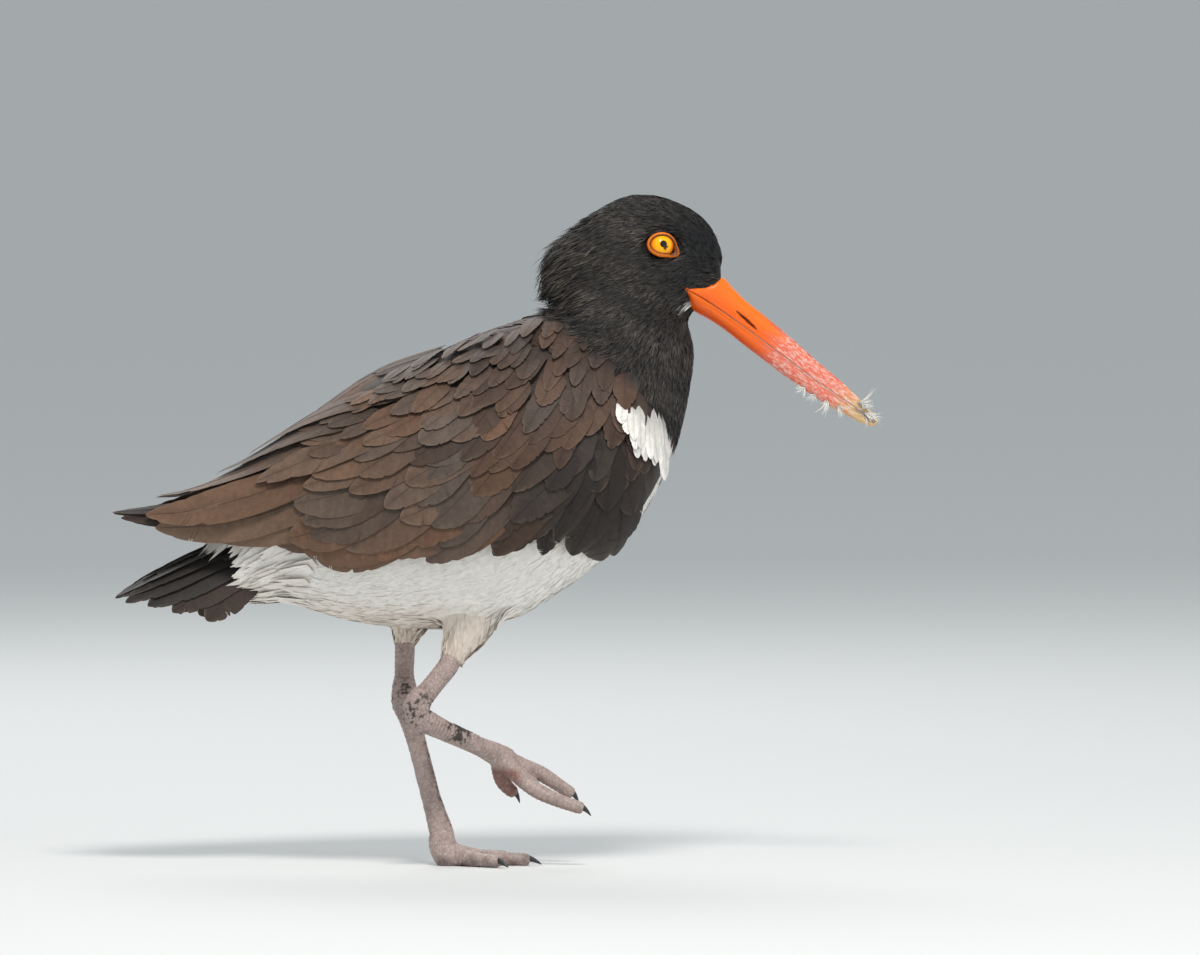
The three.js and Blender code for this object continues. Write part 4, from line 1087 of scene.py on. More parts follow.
# Feathers of the lower back: brown and vaned like the mantle's. They are rooted along the middle, and
# close the gap that the folded wings leave there.
BACK_LENGTH = 24
BACK_WIDTH = 10.0
back_lines, back_facing = [], []
t = np.linspace(0, 1, 6)
for row_x in np.arange(-4, -84, -5.5):
    for y_place in (-9.0, -4.5, 0.0, 4.5, 9.0):
        line_x = row_x - BACK_LENGTH * t + dice.normal(0, 1.0)
        _, widest, rise, _ = flank_slice(line_x).T
        ridge = widest + rise - 1.2 - 0.02 * y_place**2 + 0.9 * t
        sideways = y_place * (1 + 0.1 * t) + dice.normal(0, 0.5)
        back_lines.append(np.column_stack([line_x, sideways, ridge]))
        back_facing.append(np.tile([-0.35, y_place * 0.035, 0.94], (6, 1)))
back_lines, back_facing = np.stack(back_lines), np.stack(back_facing)
tone = dice.random(len(back_lines))
colour = mixed(mixed(UMBER, RUSSET, tone), DUSK, 0.5 * dice.random(len(back_lines)))
back = vanes(
    "back_feathers", back_lines, back_facing, np.full(len(back_lines), BACK_WIDTH), colour,
    mixed(colour, WORN, 0.3), barbs=16, fray=1.2,
)
back.data.materials.append(brown_feathers)
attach(back, "root")

# The white patch at the bend of each wing: narrow white vaned feathers, rooted in a row under the hood's
# edge and hanging over the first coverts, with a jagged lower edge.
PATCH_FEATHERS = 13
for side_name, side in (("left", 1), ("right", -1)):
    column = np.linspace(0, 1, PATCH_FEATHERS)
    patch_roots = np.column_stack([69.5 + 15.8 * column, 190.0 - 3.5 * column])
    patch_roots = patch_roots + dice.normal(0, 1.2, (PATCH_FEATHERS, 2))
    drop = 12.0 + 13.0 * column**0.8 + dice.normal(0, 2.0, PATCH_FEATHERS)
    slant = 1.0 - 1.0 * column + dice.normal(0, 0.5, PATCH_FEATHERS)
    patch_tips = patch_roots - np.column_stack([slant, drop])
    rise = np.column_stack([np.full(PATCH_FEATHERS, -0.4), dice.uniform(1.9, 2.8, PATCH_FEATHERS)])
    lines, facing = flank_lines(patch_roots, patch_tips, rise)
    lines[..., 1] *= side
    facing[..., 1] *= side
    white = np.tile(WHITE, (PATCH_FEATHERS, 1))
    white_patch = vanes(
        f"shoulder_patch_{side_name}", lines, facing, np.full(PATCH_FEATHERS, 5.6), white * 0.97, white,
        barbs=18, fray=1.2, curl=0.1,
    )
    blacken_hood(white_patch)
    white_patch.data.materials.append(white_feathers)
    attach(white_patch, "root")

# Tail: twelve stiff vaned feathers in a low tent, the middle pair on top. They are blackish brown with a
# pale worn edge. Their quills are fixed in the tail's fleshy base, which short black feathers clothe.
TAIL_TIP = np.array([-141, 2.8, 110.8])
TAIL_ROOT = np.array([-80, 1.6, 138])
TAIL_WIDTH = 16.0
TAIL_BLACK = linear(0.17, 0.15, 0.14)
CREAM = linear(0.72, 0.66, 0.56)

# For each pair: how far its roots and tips stand out and down from the middle pair's, and its slope.
tail_pairs = [
    (0.0, 0.0, 0.0, 0.0, 8),
    (2.2, -1.6, 3.4, -0.7, 24),
    (4.6, -4.2, 7.2, -2.0, 40),
    (7.0, -8.0, 10.6, -4.0, 54),
    (8.6, -12.2, 13.0, -6.6, 66),
    (9.4, -16.2, 14.4, -9.4, 74),
]
OUTER_FROM = 4
tail_lines, tail_facing = [], []
for number, (root_out, root_down, tip_out, tip_down, slope) in enumerate(tail_pairs):
    for side in (1, -1):
        root = TAIL_ROOT + np.array([0, root_out, root_down])
        shorter = 2.2 * number**1.75 + dice.normal(0, 1.6)
        tip = TAIL_TIP + np.array([shorter, tip_out, tip_down + dice.normal(0, 0.5)])
        t = np.linspace(0, 1, 9)[:, None]
        line = root + (tip - root) * t + np.array([0, 0, 1.0]) * 1.6 * np.sin(t * np.pi)
        slope_angle = math.radians(slope)
        normal = np.tile([0.0, math.sin(slope_angle), math.cos(slope_angle)], (9, 1))
        along = unit(np.gradient(line, axis=0))
        normal = unit(normal - along * np.sum(normal * along, axis=1, keepdims=True))
        turn = np.array([1, side, 1])
        tail_lines.append(line * turn)
        tail_facing.append(normal * turn)
tail_lines, tail_facing = np.stack(tail_lines), np.stack(tail_facing)
outer = np.repeat(np.arange(len(tail_pairs)) >= OUTER_FROM, 2)
colour = np.tile(TAIL_BLACK, (len(tail_lines), 1)) * dice.uniform(0.85, 1.25, (len(tail_lines), 1))
colour = mixed(colour, UMBER, 0.8 * outer)
tail_feathers = vanes(
    "tail_feathers", tail_lines, tail_facing, np.full(len(tail_lines), TAIL_WIDTH), colour,
    mixed(colour, CREAM, 0.16), barbs=54, fray=1.4, point=1.8, blunt=0.6, curl=0.04,
)
tail_feathers.data.materials.append(brown_feathers)
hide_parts("tail")
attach(tail_feathers, "root")

# The fleshy base of the tail: [X, middle Z, half height, half width].
stump_rows = np.array([
    [-78, 127, 11, 11],
    [-88, 124, 9.5, 10],
    [-98, 120.5, 6.5, 8],
    [-108, 117, 3.2, 5.5],
    [-114, 115, 1.5, 3],
])
STUMP_RINGS = 30
stump_read = smooth_rows(np.column_stack([np.arange(len(stump_rows)), stump_rows]))


def stump_at(x):
    """The tail base's row at each X."""
    return stump_read(np.interp(-x, -stump_rows[:, 0], np.arange(len(stump_rows))))


stump = stump_read(np.linspace(0, len(stump_rows) - 1, STUMP_RINGS))
middle = np.zeros(STUMP_RINGS)
stump_rings = oval_rings(
    np.column_stack([stump[:, 0], middle, stump[:, 1]]),
    np.column_stack([middle, stump[:, 3], middle]),
    np.column_stack([middle, middle, stump[:, 2]]),
    LIMB_SIDES,
)
stump_points, stump_triangles = closed_loft(stump_rings)
stump_colour = np.tile(TAIL_BLACK, (len(stump_points), 1))
tail_base = triangle_mesh("tail_base", stump_points, stump_triangles, stump_colour)
tail_base.data.materials.append(brown_feathers)
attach(tail_base, "root")

# Short black feathers clothe that base in three rings, and hide the shafts of the tail feathers.
BASE_FEATHERS = 20
BASE_CLEAR = 1.2
base_lines, base_facing = [], []
for start_x in (-76, -82, -88):
    turns = np.linspace(0, 2 * np.pi, BASE_FEATHERS, endpoint=False) + dice.normal(0, 0.1, BASE_FEATHERS)
    for angle in turns:
        x_line = start_x - 24 * np.linspace(0, 1, 5)
        place = stump_at(x_line)
        sideways = np.cos(angle) * (place[:, 3] + BASE_CLEAR)
        height = place[:, 1] + np.sin(angle) * (place[:, 2] + BASE_CLEAR)
        base_lines.append(np.column_stack([x_line, sideways, height]))
        base_facing.append(np.tile([0.0, math.cos(angle), math.sin(angle)], (5, 1)))
base_lines, base_facing = np.stack(base_lines), np.stack(base_facing)
colour = np.tile(TAIL_BLACK, (len(base_lines), 1)) * dice.uniform(0.7, 1.2, (len(base_lines), 1))
base_cover = vanes(
    "tail_base_feathers", base_lines, base_facing, np.full(len(base_lines), 9.0), colour, colour,
    barbs=14, fray=1.0,
)
base_cover.data.materials.append(brown_feathers)
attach(base_cover, "root")

# Tail coverts: the rump's and vent's longest soft white feathers. They are rooted in rings round the
# body's end, close the step from it down to the tail, and reach furthest along the top.

# [X where a ring starts, Z of its middle, its half height and half width, X where its feathers end]
covert_rings = [
    [-54, 142, 41, 36, -76],
    [-60, 139, 35, 31, -80],
    [-66, 136, 31, 27, -84],
    [-72, 133, 26.5, 23, -87],
    [-77, 131, 23, 20, -90],
]
RING_FEATHERS = 54
ROOT_SUNK = 4.5
covert_lines, covert_facing = [], []
for start_x, centre_z, half_z, half_y, end_x in covert_rings:
    turns = np.linspace(0, 2 * np.pi, RING_FEATHERS, endpoint=False) + dice.normal(0, 0.05, RING_FEATHERS)
    for angle in turns:
        s = np.linspace(0, 1, 5)[:, None]
        on_top = np.clip(math.sin(angle) * 3 - 1.6, 0, 1)
        last_x = end_x - 14 * on_top + dice.normal(0, 2.0)
        sideways = np.array([0.0, math.cos(angle), 0.0])
        upward = np.array([0.0, 0.0, math.sin(angle)])
        end = stump_at(last_x)
        begin = np.array([start_x + dice.normal(0, 2.5), 0, centre_z])
        begin = begin + sideways * (half_y - ROOT_SUNK) + upward * (half_z - ROOT_SUNK)
        grown = 4.4 - 0.12 * (end_x + 76)
        finish = np.array([last_x, 0, end[1]]) + sideways * (end[3] + grown) + upward * (end[2] + grown)
        bend = (begin + finish) / 2 + (sideways + upward) * 2.6
        covert_lines.append(begin * (1 - s) ** 2 + 2 * bend * s * (1 - s) + finish * s**2)
        covert_facing.append(np.tile([0.25, math.cos(angle), math.sin(angle)], (5, 1)))
covert_lines, covert_facing = np.stack(covert_lines), np.stack(covert_facing)
count = len(covert_lines)
colour = mixed(WHITE, WARM_WHITE_AND_SHADE, 0.4 * dice.random(count))
covert_roots = [skin_tree.find_nearest(line[0])[2] for line in covert_lines]
coverts = tufts(
    "tail_coverts", covert_lines, covert_facing, np.full(count, 7.0), np.full(count, 0.6), colour,
    skin_places[skin_triangles[covert_roots, 0]], blades=6, fine=2.7, painted_tip_highlight=1.0, splay=0.25, even=0.96,
)
coverts.data.materials.append(white_feathers)
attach(coverts, "root")

# Bill: a horny sheath over each jaw, upper and lower, tall and narrow like an oyster knife. It is orange at
# the base, pinkish red and scuffed chalky white further out, and worn down to yellow horn at the tip.
BILL_LENGTH = 87.4
BILL_BACK = 9
MOUTH_GAP = 0.3
# [along, culmen, mouth line, keel, half width], up from the axis
bill_slice = smooth_rows([
    [-BILL_BACK, -0.6, -1.8, -3.0, 11.4],
    [-6, 2.0, -1.5, -4.4, 10.6],
    [-3, 4.9, -1.1, -6.8, 9.5],
    [-0.6, 8.0, -0.8, -7.4, 8.5],
    [1.2, 11.0, -0.7, -7.3, 7.9],
    [7, 9.9, -0.3, -6.4, 6.6],
    [15, 8.9, 0, -5.9, 5.6],
    [27, 8.6, 0.2, -6.1, 4.6],
    [39, 8.0, 0.4, -6.1, 3.9],
    [54, 6.8, 0.4, -5.8, 3.1],
    [66, 6.2, 0.8, -5.0, 2.5],
    [75, 5.2, 1.2, -3.6, 2.0],
    [82, 3.9, 1.2, -2.4, 1.5],
    [BILL_LENGTH, 2.2, 1.1, -0.6, 0.9],
])
ORANGE = linear(0.98, 0.46, 0.02)
SHADED_ORANGE = linear(0.90, 0.31, 0.02)
RIDGE_RED = linear(0.72, 0.30, 0.20)
ROSE = linear(0.87, 0.42, 0.33)
HORN = linear(0.80, 0.66, 0.42)
CHALK = linear(0.90, 0.80, 0.76)
BILL_RINGS = 230
ARCH_POINTS = 60
FLOOR_POINTS = 12
# The nostril: where its middle lies along the bill, its half length and its half height.
NOSTRIL = {"at": 19.2, "half_length": 5.6, "half_height": 0.62, "depth": 1.2}


def bill_material(name, scuff_from):
    """Horn: painted colour, with chalky scuffs drawn out along the bill and a waxy gloss."""
    material, shader, add, link = new_material(name)
    paint = add("Attribute")
    paint.attribute_name = "plumage"
    where = add("UVMap")
    where.uv_map = "horn"
    stretch = add("Mapping", {"Scale": (14.0, 9.0, 1.0)})
    scuff = add("TexNoise", {"Scale": 2.6, "Detail": 9.0, "Roughness": 0.72, "Distortion": 0.8})
    along = add("SeparateXYZ")
    zone = add("MapRange", {"From Min": scuff_from, "From Max": scuff_from + 0.12, "To Max": 0.2})
    total = add("Math")
    total.operation = "ADD"
    ramp = add("ValToRGB")
    ramp.color_ramp.elements[0].position = 0.68
    ramp.color_ramp.elements[1].position = 0.82
    mix = add("Mix")
    mix.data_type = "RGBA"
    set_values(mix, {"B": (*CHALK, 1.0)})
    grain = add("TexNoise", {"Scale": 22.0, "Detail": 6.0})
    grain_map = add("Mapping", {"Scale": (3.0, 8.0, 1.0)})
    rough = add("MapRange", {"To Min": 0.3, "To Max": 0.65})
    bump = add("Bump", {"Strength": 0.3, "Distance": 0.0005})
    tint = add("VectorMath")
    tint.operation = "SCALE"
    tint_range = add("MapRange", {"To Min": 0.82, "To Max": 1.15})
    link(where.outputs["UV"], stretch.inputs["Vector"])
    link(where.outputs["UV"], grain_map.inputs["Vector"])
    link(where.outputs["UV"], along.inputs["Vector"])
    link(stretch.outputs["Vector"], scuff.inputs["Vector"])
    link(grain_map.outputs["Vector"], grain.inputs["Vector"])
    link(along.outputs["X"], zone.inputs["Value"])
    link(scuff.outputs["Fac"], total.inputs[0])
    link(zone.outputs["Result"], total.inputs[1])
    link(total.outputs["Value"], ramp.inputs["Fac"])
    link(grain.outputs["Fac"], tint_range.inputs["Value"])
    link(paint.outputs["Color"], tint.inputs[0])
    link(tint_range.outputs["Result"], tint.inputs["Scale"])
    link(tint.outputs["Vector"], mix.inputs["A"])
    link(ramp.outputs["Color"], mix.inputs["Factor"])
    link(mix.outputs["Result"], shader.inputs["Base Color"])
    link(ramp.outputs["Color"], rough.inputs["Value"])
    link(rough.outputs["Result"], shader.inputs["Roughness"])
    link(scuff.outputs["Fac"], bump.inputs["Height"])
    link(bump.outputs["Normal"], shader.inputs["Normal"])
    set_values(shader, {
        "Subsurface Weight": 0.06,
        "Subsurface Radius": (0.002, 0.0008, 0.0004),
        "Specular IOR Level": 0.35,
        "Coat Weight": 0.12,
        "Coat Roughness": 0.25,
    })
    return material


horn = bill_material("bill horn", 0.36)


def bill_half(name, upper):
    """The upper or lower half of the bill, with the nostrils sunk in the upper one's sides."""
    s = np.linspace(0, 1, BILL_RINGS)
    along = -BILL_BACK + (BILL_LENGTH + BILL_BACK) * s**0.95
    culmen, mouth, keel, width = bill_slice(along).T
    edge = mouth + (MOUTH_GAP / 2 if upper else -MOUTH_GAP / 2)
    reach = (culmen if upper else keel) - edge
    angle = np.linspace(0, np.pi, ARCH_POINTS)
    side = np.sign(np.cos(angle)) * np.abs(np.cos(angle)) ** 0.75
    high = np.sin(angle) ** 0.9
    floor_side = np.linspace(-1, 1, FLOOR_POINTS + 2)[1:-1]
    across = np.concatenate([side, floor_side])
    height = np.concatenate([high, np.zeros(FLOOR_POINTS)])
    y_side = width[:, None] * across[None]
    up = edge[:, None] + reach[:, None] * height[None]
    # A rolled cutting edge runs along the mouth, with a shallow groove above or below it.
    roll = np.exp(-((np.abs(up - edge[:, None]) - 0.35) / 0.4) ** 2) * 0.16
    groove = np.exp(-((np.abs(up - edge[:, None]) - 1.3) / 0.5) ** 2) * -0.16
    fade = np.clip(along / 6, 0, 1) * np.clip((BILL_LENGTH - along) / 10, 0, 1)
    y_side = y_side + np.sign(y_side) * (roll + groove) * fade[:, None] * (np.abs(across) > 0.2)
    here = along[:, None] * np.ones_like(y_side)
    # Each jaw is painted lighter towards its top and darker towards its bottom, as painted light from above
    # and painted shade below.
    if upper:
        lit_section_paint = mixed(SHADED_ORANGE, ORANGE, np.clip(0.35 + 0.65 * height, 0, 1))
    else:
        lit_section_paint = mixed(ORANGE, SHADED_ORANGE, np.clip(0.2 + 0.8 * height, 0, 1))
    paint = lit_section_paint[None] * np.ones((BILL_RINGS, 1, 1))
    rosy = np.clip((here - 27 - 3 * np.sin(up * 1.4)) / 12, 0, 1)
    horny = np.clip((here - 66 - 2 * np.sin(up * 2)) / 12, 0, 1)
    paint = paint + (ROSE - paint) * (rosy * 0.9)[..., None]
    paint = paint + (HORN - paint) * horny[..., None]
    # The gap between the jaws' tips is painted dark, as painted shade in the gap.
    gap_shade = np.exp(-((up - edge[:, None]) / 0.75) ** 2) * np.clip((here - 75) / 4, 0, 1) * (here < 86.3)
    paint = paint * (1 - 0.85 * gap_shade[..., None])
    if upper:
        ridge = np.clip((height - 0.8) / 0.2, 0, 1)[None] * np.clip((here - 15) / 15, 0, 1)
        paint = paint + (RIDGE_RED - paint) * (0.6 * ridge * (1 - horny))[..., None]
        on_side = np.abs(across) > 0.5
        slit_middle = 3.4 - (here - 13.5) * 0.11 + mouth[:, None]
        slit_share = np.clip(1 - ((here - NOSTRIL["at"]) / NOSTRIL["half_length"]) ** 2, 0, 1)
        slit_half = NOSTRIL["half_height"] * slit_share**0.5
        inside = 1 - np.clip(np.abs(up - slit_middle) / np.maximum(slit_half, 0.01), 0, 1) ** 3
        inside = inside * (slit_half > 0.02) * on_side
        rim = np.exp(-((np.abs(up - slit_middle) - slit_half - 0.45) / 0.35) ** 2) * (slit_half > 0.1)
        outward = np.sign(y_side)
        y_side = y_side - outward * NOSTRIL["depth"] * inside + outward * 0.12 * rim * on_side
        # The nostril slit is painted near black inside, as painted shade in its hollow.
        paint = paint * (1 - 0.97 * inside[..., None])
    points = bill_base + here[..., None] * bill_along + up[..., None] * bill_up
    points = points + y_side[..., None] * np.array([0.0, 1.0, 0.0])
    loft_points, triangles = closed_loft(points)
    if upper:
        triangles = triangles[:, ::-1]
    ends = np.stack([paint[0].mean(0), paint[-1].mean(0)])
    colours = np.vstack([paint.reshape(-1, 3), ends])
    piece = triangle_mesh(name, loft_points, triangles, colours)
    # The scuffs and the grain lie on a map of their own, which runs along the bill and up each side.
    layer = piece.data.uv_layers.new(name="horn")
    u = np.concatenate([(here.ravel() + BILL_BACK) / (BILL_LENGTH + BILL_BACK), [0, 1]])
    v = np.concatenate([(height[None] * np.ones_like(here) * reach[:, None] / 12).ravel(), [0, 0]])
    v = v + np.concatenate([(0.35 * np.sign(across)[None] * np.ones_like(here)).ravel(), [0, 0]])
    places = np.column_stack([u, v])[triangles]
    layer.data.foreach_set("uv", np.ascontiguousarray(places, np.float32).ravel())
    piece.data.materials.append(horn)
    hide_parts("bill_upper" if upper else "bill_lower")
    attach(piece, "root")


bill_half("bill_sheath_upper", True)
bill_half("bill_sheath_lower", False)

# Wisps of white breast down that cling to the bill near its tip after preening. Each plume is a few fine
# curved barbs that stick to the horn at one end.
# For each plume: where it clings, [along, up] on the bill, the way it points and its length.
wisp_plumes = [
    ([55, -4.6], [-0.35, -0.9], 5.5),
    ([60, -4.0], [0.1, -1.0], 6.0),
    ([65, -3.2], [0.55, -0.8], 8.0),
    ([70, -2.2], [0.9, -0.4], 7.0),
    ([76, 3.4], [0.95, 0.45], 10.0),
    ([81, 1.8], [1.0, 0.3], 9.0),
    ([79, 2.4], [0.3, 1.0], 6.0),
]
WISP_STRANDS = 16
WISP_WIDTH = 0.8
WISP_RISE = 0.3
wisp_lines, wisp_facing = [], []
for start, way, reach in wisp_plumes:
    sweep = dice.normal(0, 0.35)
    for _ in range(WISP_STRANDS):
        s = np.linspace(0, 1, 6)[:, None] * dice.uniform(0.4, 1.0)
        heading = unit(np.array(way) + dice.normal(0, 0.3, 2))
        bend = sweep + dice.normal(0, 0.3)
        along = start[0] + heading[0] * s * reach - heading[1] * bend * s**2 * reach
        up = start[1] + heading[1] * s * reach + heading[0] * bend * s**2 * reach
        out = -(1.6 + dice.uniform(0, 1.0)) * np.ones_like(s) - dice.normal(0.4, 1.6) * s
        sideways = out * np.array([0.0, 1.0, 0.0])
        wisp_lines.append(bill_base + along * bill_along + up * bill_up + sideways)
        wisp_facing.append(np.tile([0.0, -1.0, 0.0], (6, 1)))
wisp_lines, wisp_facing = np.stack(wisp_lines), np.stack(wisp_facing)
count = len(wisp_lines)
wisps = tufts(
    "down_wisps", wisp_lines, wisp_facing, np.full(count, WISP_WIDTH), np.full(count, WISP_RISE),
    np.tile(WHITE, (count, 1)), np.full((count, 2), 0.5), blades=2, fine=0.32, splay=1.6,
)
wisps.data.materials.append(white_feathers)
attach(wisps, "root")

# Eyes: a yellow iris round a small black pupil with a dark fleck beside it, under a wet clear cornea. Each
# eye sits in the head up to its bare orange lids, which are drawn out to a low point in front.
IRIS = linear(1.0, 0.70, 0.02)
IRIS_EDGE = linear(0.93, 0.46, 0.02)
PUPIL_RADIUS = 1.45
IRIS_RADIUS = 4.8
CORNEA_BULGE = 0.35
EYE_RINGS = 90
EYE_SIDES = 96
# The parts of the fleck: how far each lies ahead of the pupil's middle and above it, and its size.
fleck_parts = [
    (0.75, -1.5, 0.5),
    (1.25, -1.15, 0.42),
    (0.35, -1.75, 0.36),
    (1.7, -1.0, 0.3),
    (0.9, -2.1, 0.34),
]
# The lids' half length and half height on the eyeball, how far their front corner is drawn out, their
# thickness, and how far out from the eyeball's middle that corner stays.
LID_SHAPE = {"long": 5.5, "high": 4.3, "corner": 1.8, "thick": 0.85, "corner_out": 2.9}
LID_CLEAR = 0.45
LID_POINTS = 160
LID_SIDES = 20
LID_ORANGE = linear(1.0, 0.50, 0.01)

eye_wet, shader, add, link = new_material("wet eye")
paint = add("Attribute")
paint.attribute_name = "plumage"
fibres = add("TexNoise", {"Scale": 1400.0, "Detail": 4.0})
fibre_range = add("MapRange", {"To Min": 0.86, "To Max": 1.08})
fibre_shade = add("VectorMath")
fibre_shade.operation = "SCALE"
link(fibres.outputs["Fac"], fibre_range.inputs["Value"])
link(paint.outputs["Color"], fibre_shade.inputs[0])
link(fibre_range.outputs["Result"], fibre_shade.inputs["Scale"])
link(fibre_shade.outputs["Vector"], shader.inputs["Base Color"])
set_values(shader, {
    "Roughness": 0.35,
    "Specular IOR Level": 0.08,
    "Coat Weight": 1.0,
    "Coat Roughness": 0.02,
    "Coat IOR": 1.33,
})


def soft_skin_material(name, scale, strength, roughness, coat):
    """Bare skin: painted colour with fine creases in its relief, painted darker along them as painted
    shade, and a faint gloss.
    """
    material, shader, add, link = new_material(name)
    paint = add("Attribute")
    paint.attribute_name = "plumage"
    spot = add("TexCoord")
    cells = add("TexVoronoi", {"Scale": scale})
    cells.feature = "DISTANCE_TO_EDGE"
    crease_shade_and_depth = add("MapRange", {"From Max": 0.14, "To Min": 0.72, "To Max": 1.0})
    blotch = add("TexNoise", {"Scale": scale * 0.3, "Detail": 6.0})
    blotch_range = add("MapRange", {"To Min": 0.8, "To Max": 1.18})
    shade = add("Math")
    shade.operation = "MULTIPLY"
    colour = add("VectorMath")
    colour.operation = "SCALE"
    rough = add("MapRange", {"To Min": roughness - 0.12, "To Max": roughness + 0.12})
    bump = add("Bump", {"Strength": strength, "Distance": 0.0004})
    link(spot.outputs["Object"], cells.inputs["Vector"])
    link(spot.outputs["Object"], blotch.inputs["Vector"])
    link(cells.outputs["Distance"], crease_shade_and_depth.inputs["Value"])
    link(blotch.outputs["Fac"], blotch_range.inputs["Value"])
    # Painted shade along the creases.
    link(crease_shade_and_depth.outputs["Result"], shade.inputs[0])
    link(blotch_range.outputs["Result"], shade.inputs[1])
    link(paint.outputs["Color"], colour.inputs[0])
    link(shade.outputs["Value"], colour.inputs["Scale"])
    link(colour.outputs["Vector"], shader.inputs["Base Color"])
    link(blotch.outputs["Fac"], rough.inputs["Value"])
    link(rough.outputs["Result"], shader.inputs["Roughness"])
    link(crease_shade_and_depth.outputs["Result"], bump.inputs["Height"])
    link(bump.outputs["Normal"], shader.inputs["Normal"])
    set_values(shader, {
        "Subsurface Weight": 0.1,
        "Subsurface Radius": (0.0015, 0.0007, 0.0005),
        "Coat Weight": coat,
        "Coat Roughness": 0.3,
    })
    return material


lid_skin = soft_skin_material("lid skin", 2600, 0.4, 0.5, 0.05)
for side_name, side in (("left", 1), ("right", -1)):
    centre, ahead, up, out = eye_frame(side)
    # The eyeball, turned about the way it looks, with the cornea bulging a little over the iris.
    angle_out = np.linspace(0.02, np.pi - 0.02, EYE_RINGS)
    off = np.sin(angle_out) * EYE_RADIUS
    bulge = CORNEA_BULGE * np.clip(1 - (off / IRIS_RADIUS) ** 2, 0, 1) * (angle_out < np.pi / 2)
    turn = np.arange(EYE_SIDES) / EYE_SIDES * 2 * np.pi
    flat = ahead[None] * np.cos(turn)[:, None] + up[None] * np.sin(turn)[:, None]
    height = np.cos(angle_out) * EYE_RADIUS + bulge
    rings = centre + flat[None] * off[:, None, None] + (out * height[:, None])[:, None]
    eye_points, eye_triangles = closed_loft(rings)
    if side > 0:
        eye_triangles = eye_triangles[:, ::-1]
    gap = eye_points - centre
    local = np.stack([gap @ ahead, gap @ up, gap @ out], -1)
    radius = np.hypot(local[:, 0], local[:, 1])
    rim = np.clip((radius - 3.0) / 1.5, 0, 1)
    colour = mixed(IRIS, IRIS_EDGE, rim**1.5)
    spokes = 1 + 0.07 * np.sin(np.arctan2(local[:, 1], local[:, 0]) * 23)
    colour = colour * spokes[:, None]
    fleck = np.zeros(len(local))
    for fleck_x, fleck_z, size in fleck_parts:
        from_part = np.hypot(local[:, 0] - fleck_x, local[:, 1] - fleck_z) / size
        fleck = np.maximum(fleck, np.clip(1.6 - from_part, 0, 1))
    dark = np.clip((PUPIL_RADIUS + 0.12 - radius) / 0.2, 0, 1)
    beyond_iris = np.clip((radius - IRIS_RADIUS) / 0.2, 0, 1)
    dark = np.maximum(dark, np.maximum(beyond_iris, fleck))
    dark = np.where(local[:, 2] < 0, 1.0, dark)
    colour = colour * (1 - 0.998 * dark)[:, None]
    eye = triangle_mesh(f"eyeball_{side_name}", eye_points, eye_triangles, colour)
    eye.data.materials.append(eye_wet)
    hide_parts(f"eye_{side_name}")
    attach(eye, "root")

    # The lids: a rolled rim on the eyeball, with a fold round it and fine creases across it.
    turn = np.arange(LID_POINTS) / LID_POINTS * 2 * np.pi
    drawn = LID_SHAPE["corner"] * np.clip(np.cos(turn + math.radians(28)), 0, 1) ** 6
    lid_x = (LID_SHAPE["long"] + drawn) * np.cos(turn)
    lid_z = LID_SHAPE["high"] * np.sin(turn) - drawn * 0.8
    seat = EYE_RADIUS + LID_CLEAR
    # In front they leave the eyeball, and lie on the face.
    lid_out = np.sqrt(np.maximum(seat**2 - lid_x**2 - lid_z**2, LID_SHAPE["corner_out"] ** 2))
    middle = np.stack([lid_x, lid_z, lid_out], -1)
    outward = unit(middle)
    radial = np.stack([lid_x, lid_z, np.zeros(LID_POINTS)], -1)
    radial = unit(radial - outward * np.sum(radial * outward, axis=1, keepdims=True))
    section = np.arange(LID_SIDES) / LID_SIDES * 2 * np.pi
    crease = 1 + 0.05 * np.sin(turn * 31)[:, None] * np.clip(np.sin(section), 0, 1)[None]
    fold = 1 + 0.12 * np.cos(3 * section)[None]
    wide = (1.0 + 0.25 * drawn)[:, None] * crease * fold * LID_SHAPE["thick"]
    ring = middle[:, None] + radial[:, None] * (np.cos(section)[None] * wide * 1.05)[..., None]
    ring = ring + outward[:, None] * (np.sin(section)[None] * wide * 0.85)[..., None]
    lid_points = centre + ring[..., :1] * ahead + ring[..., 1:2] * up + ring[..., 2:] * out
    here = np.arange(LID_POINTS)[:, None] * LID_SIDES
    following = (np.arange(LID_POINTS)[:, None] + 1) % LID_POINTS * LID_SIDES
    spot = np.arange(LID_SIDES)[None]
    next_spot = (spot + 1) % LID_SIDES
    a, b, c, d = here + spot, here + next_spot, following + spot, following + next_spot
    lid_triangles = np.concatenate([np.stack([a, b, c], -1), np.stack([b, d, c], -1)]).reshape(-1, 3)
    if side < 0:
        lid_triangles = lid_triangles[:, ::-1]
    lid_points = lid_points.reshape(-1, 3)
    # The lid's inner side, where it meets the eyeball, is painted dark, as painted shade in that crease.
    inner = np.clip(-np.cos(section) * 1.4 - 0.35, 0, 1)[None] * np.ones((LID_POINTS, 1))
    shade = np.tile(LID_ORANGE, (LID_POINTS, LID_SIDES, 1)) * (1 - 0.9 * inner[..., None])
    lid = triangle_mesh(f"lid_rim_{side_name}", lid_points, lid_triangles, shade.reshape(-1, 3))
    lid.data.materials.append(lid_skin)
    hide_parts(f"lids_{side_name}")
    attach(lid, "root")

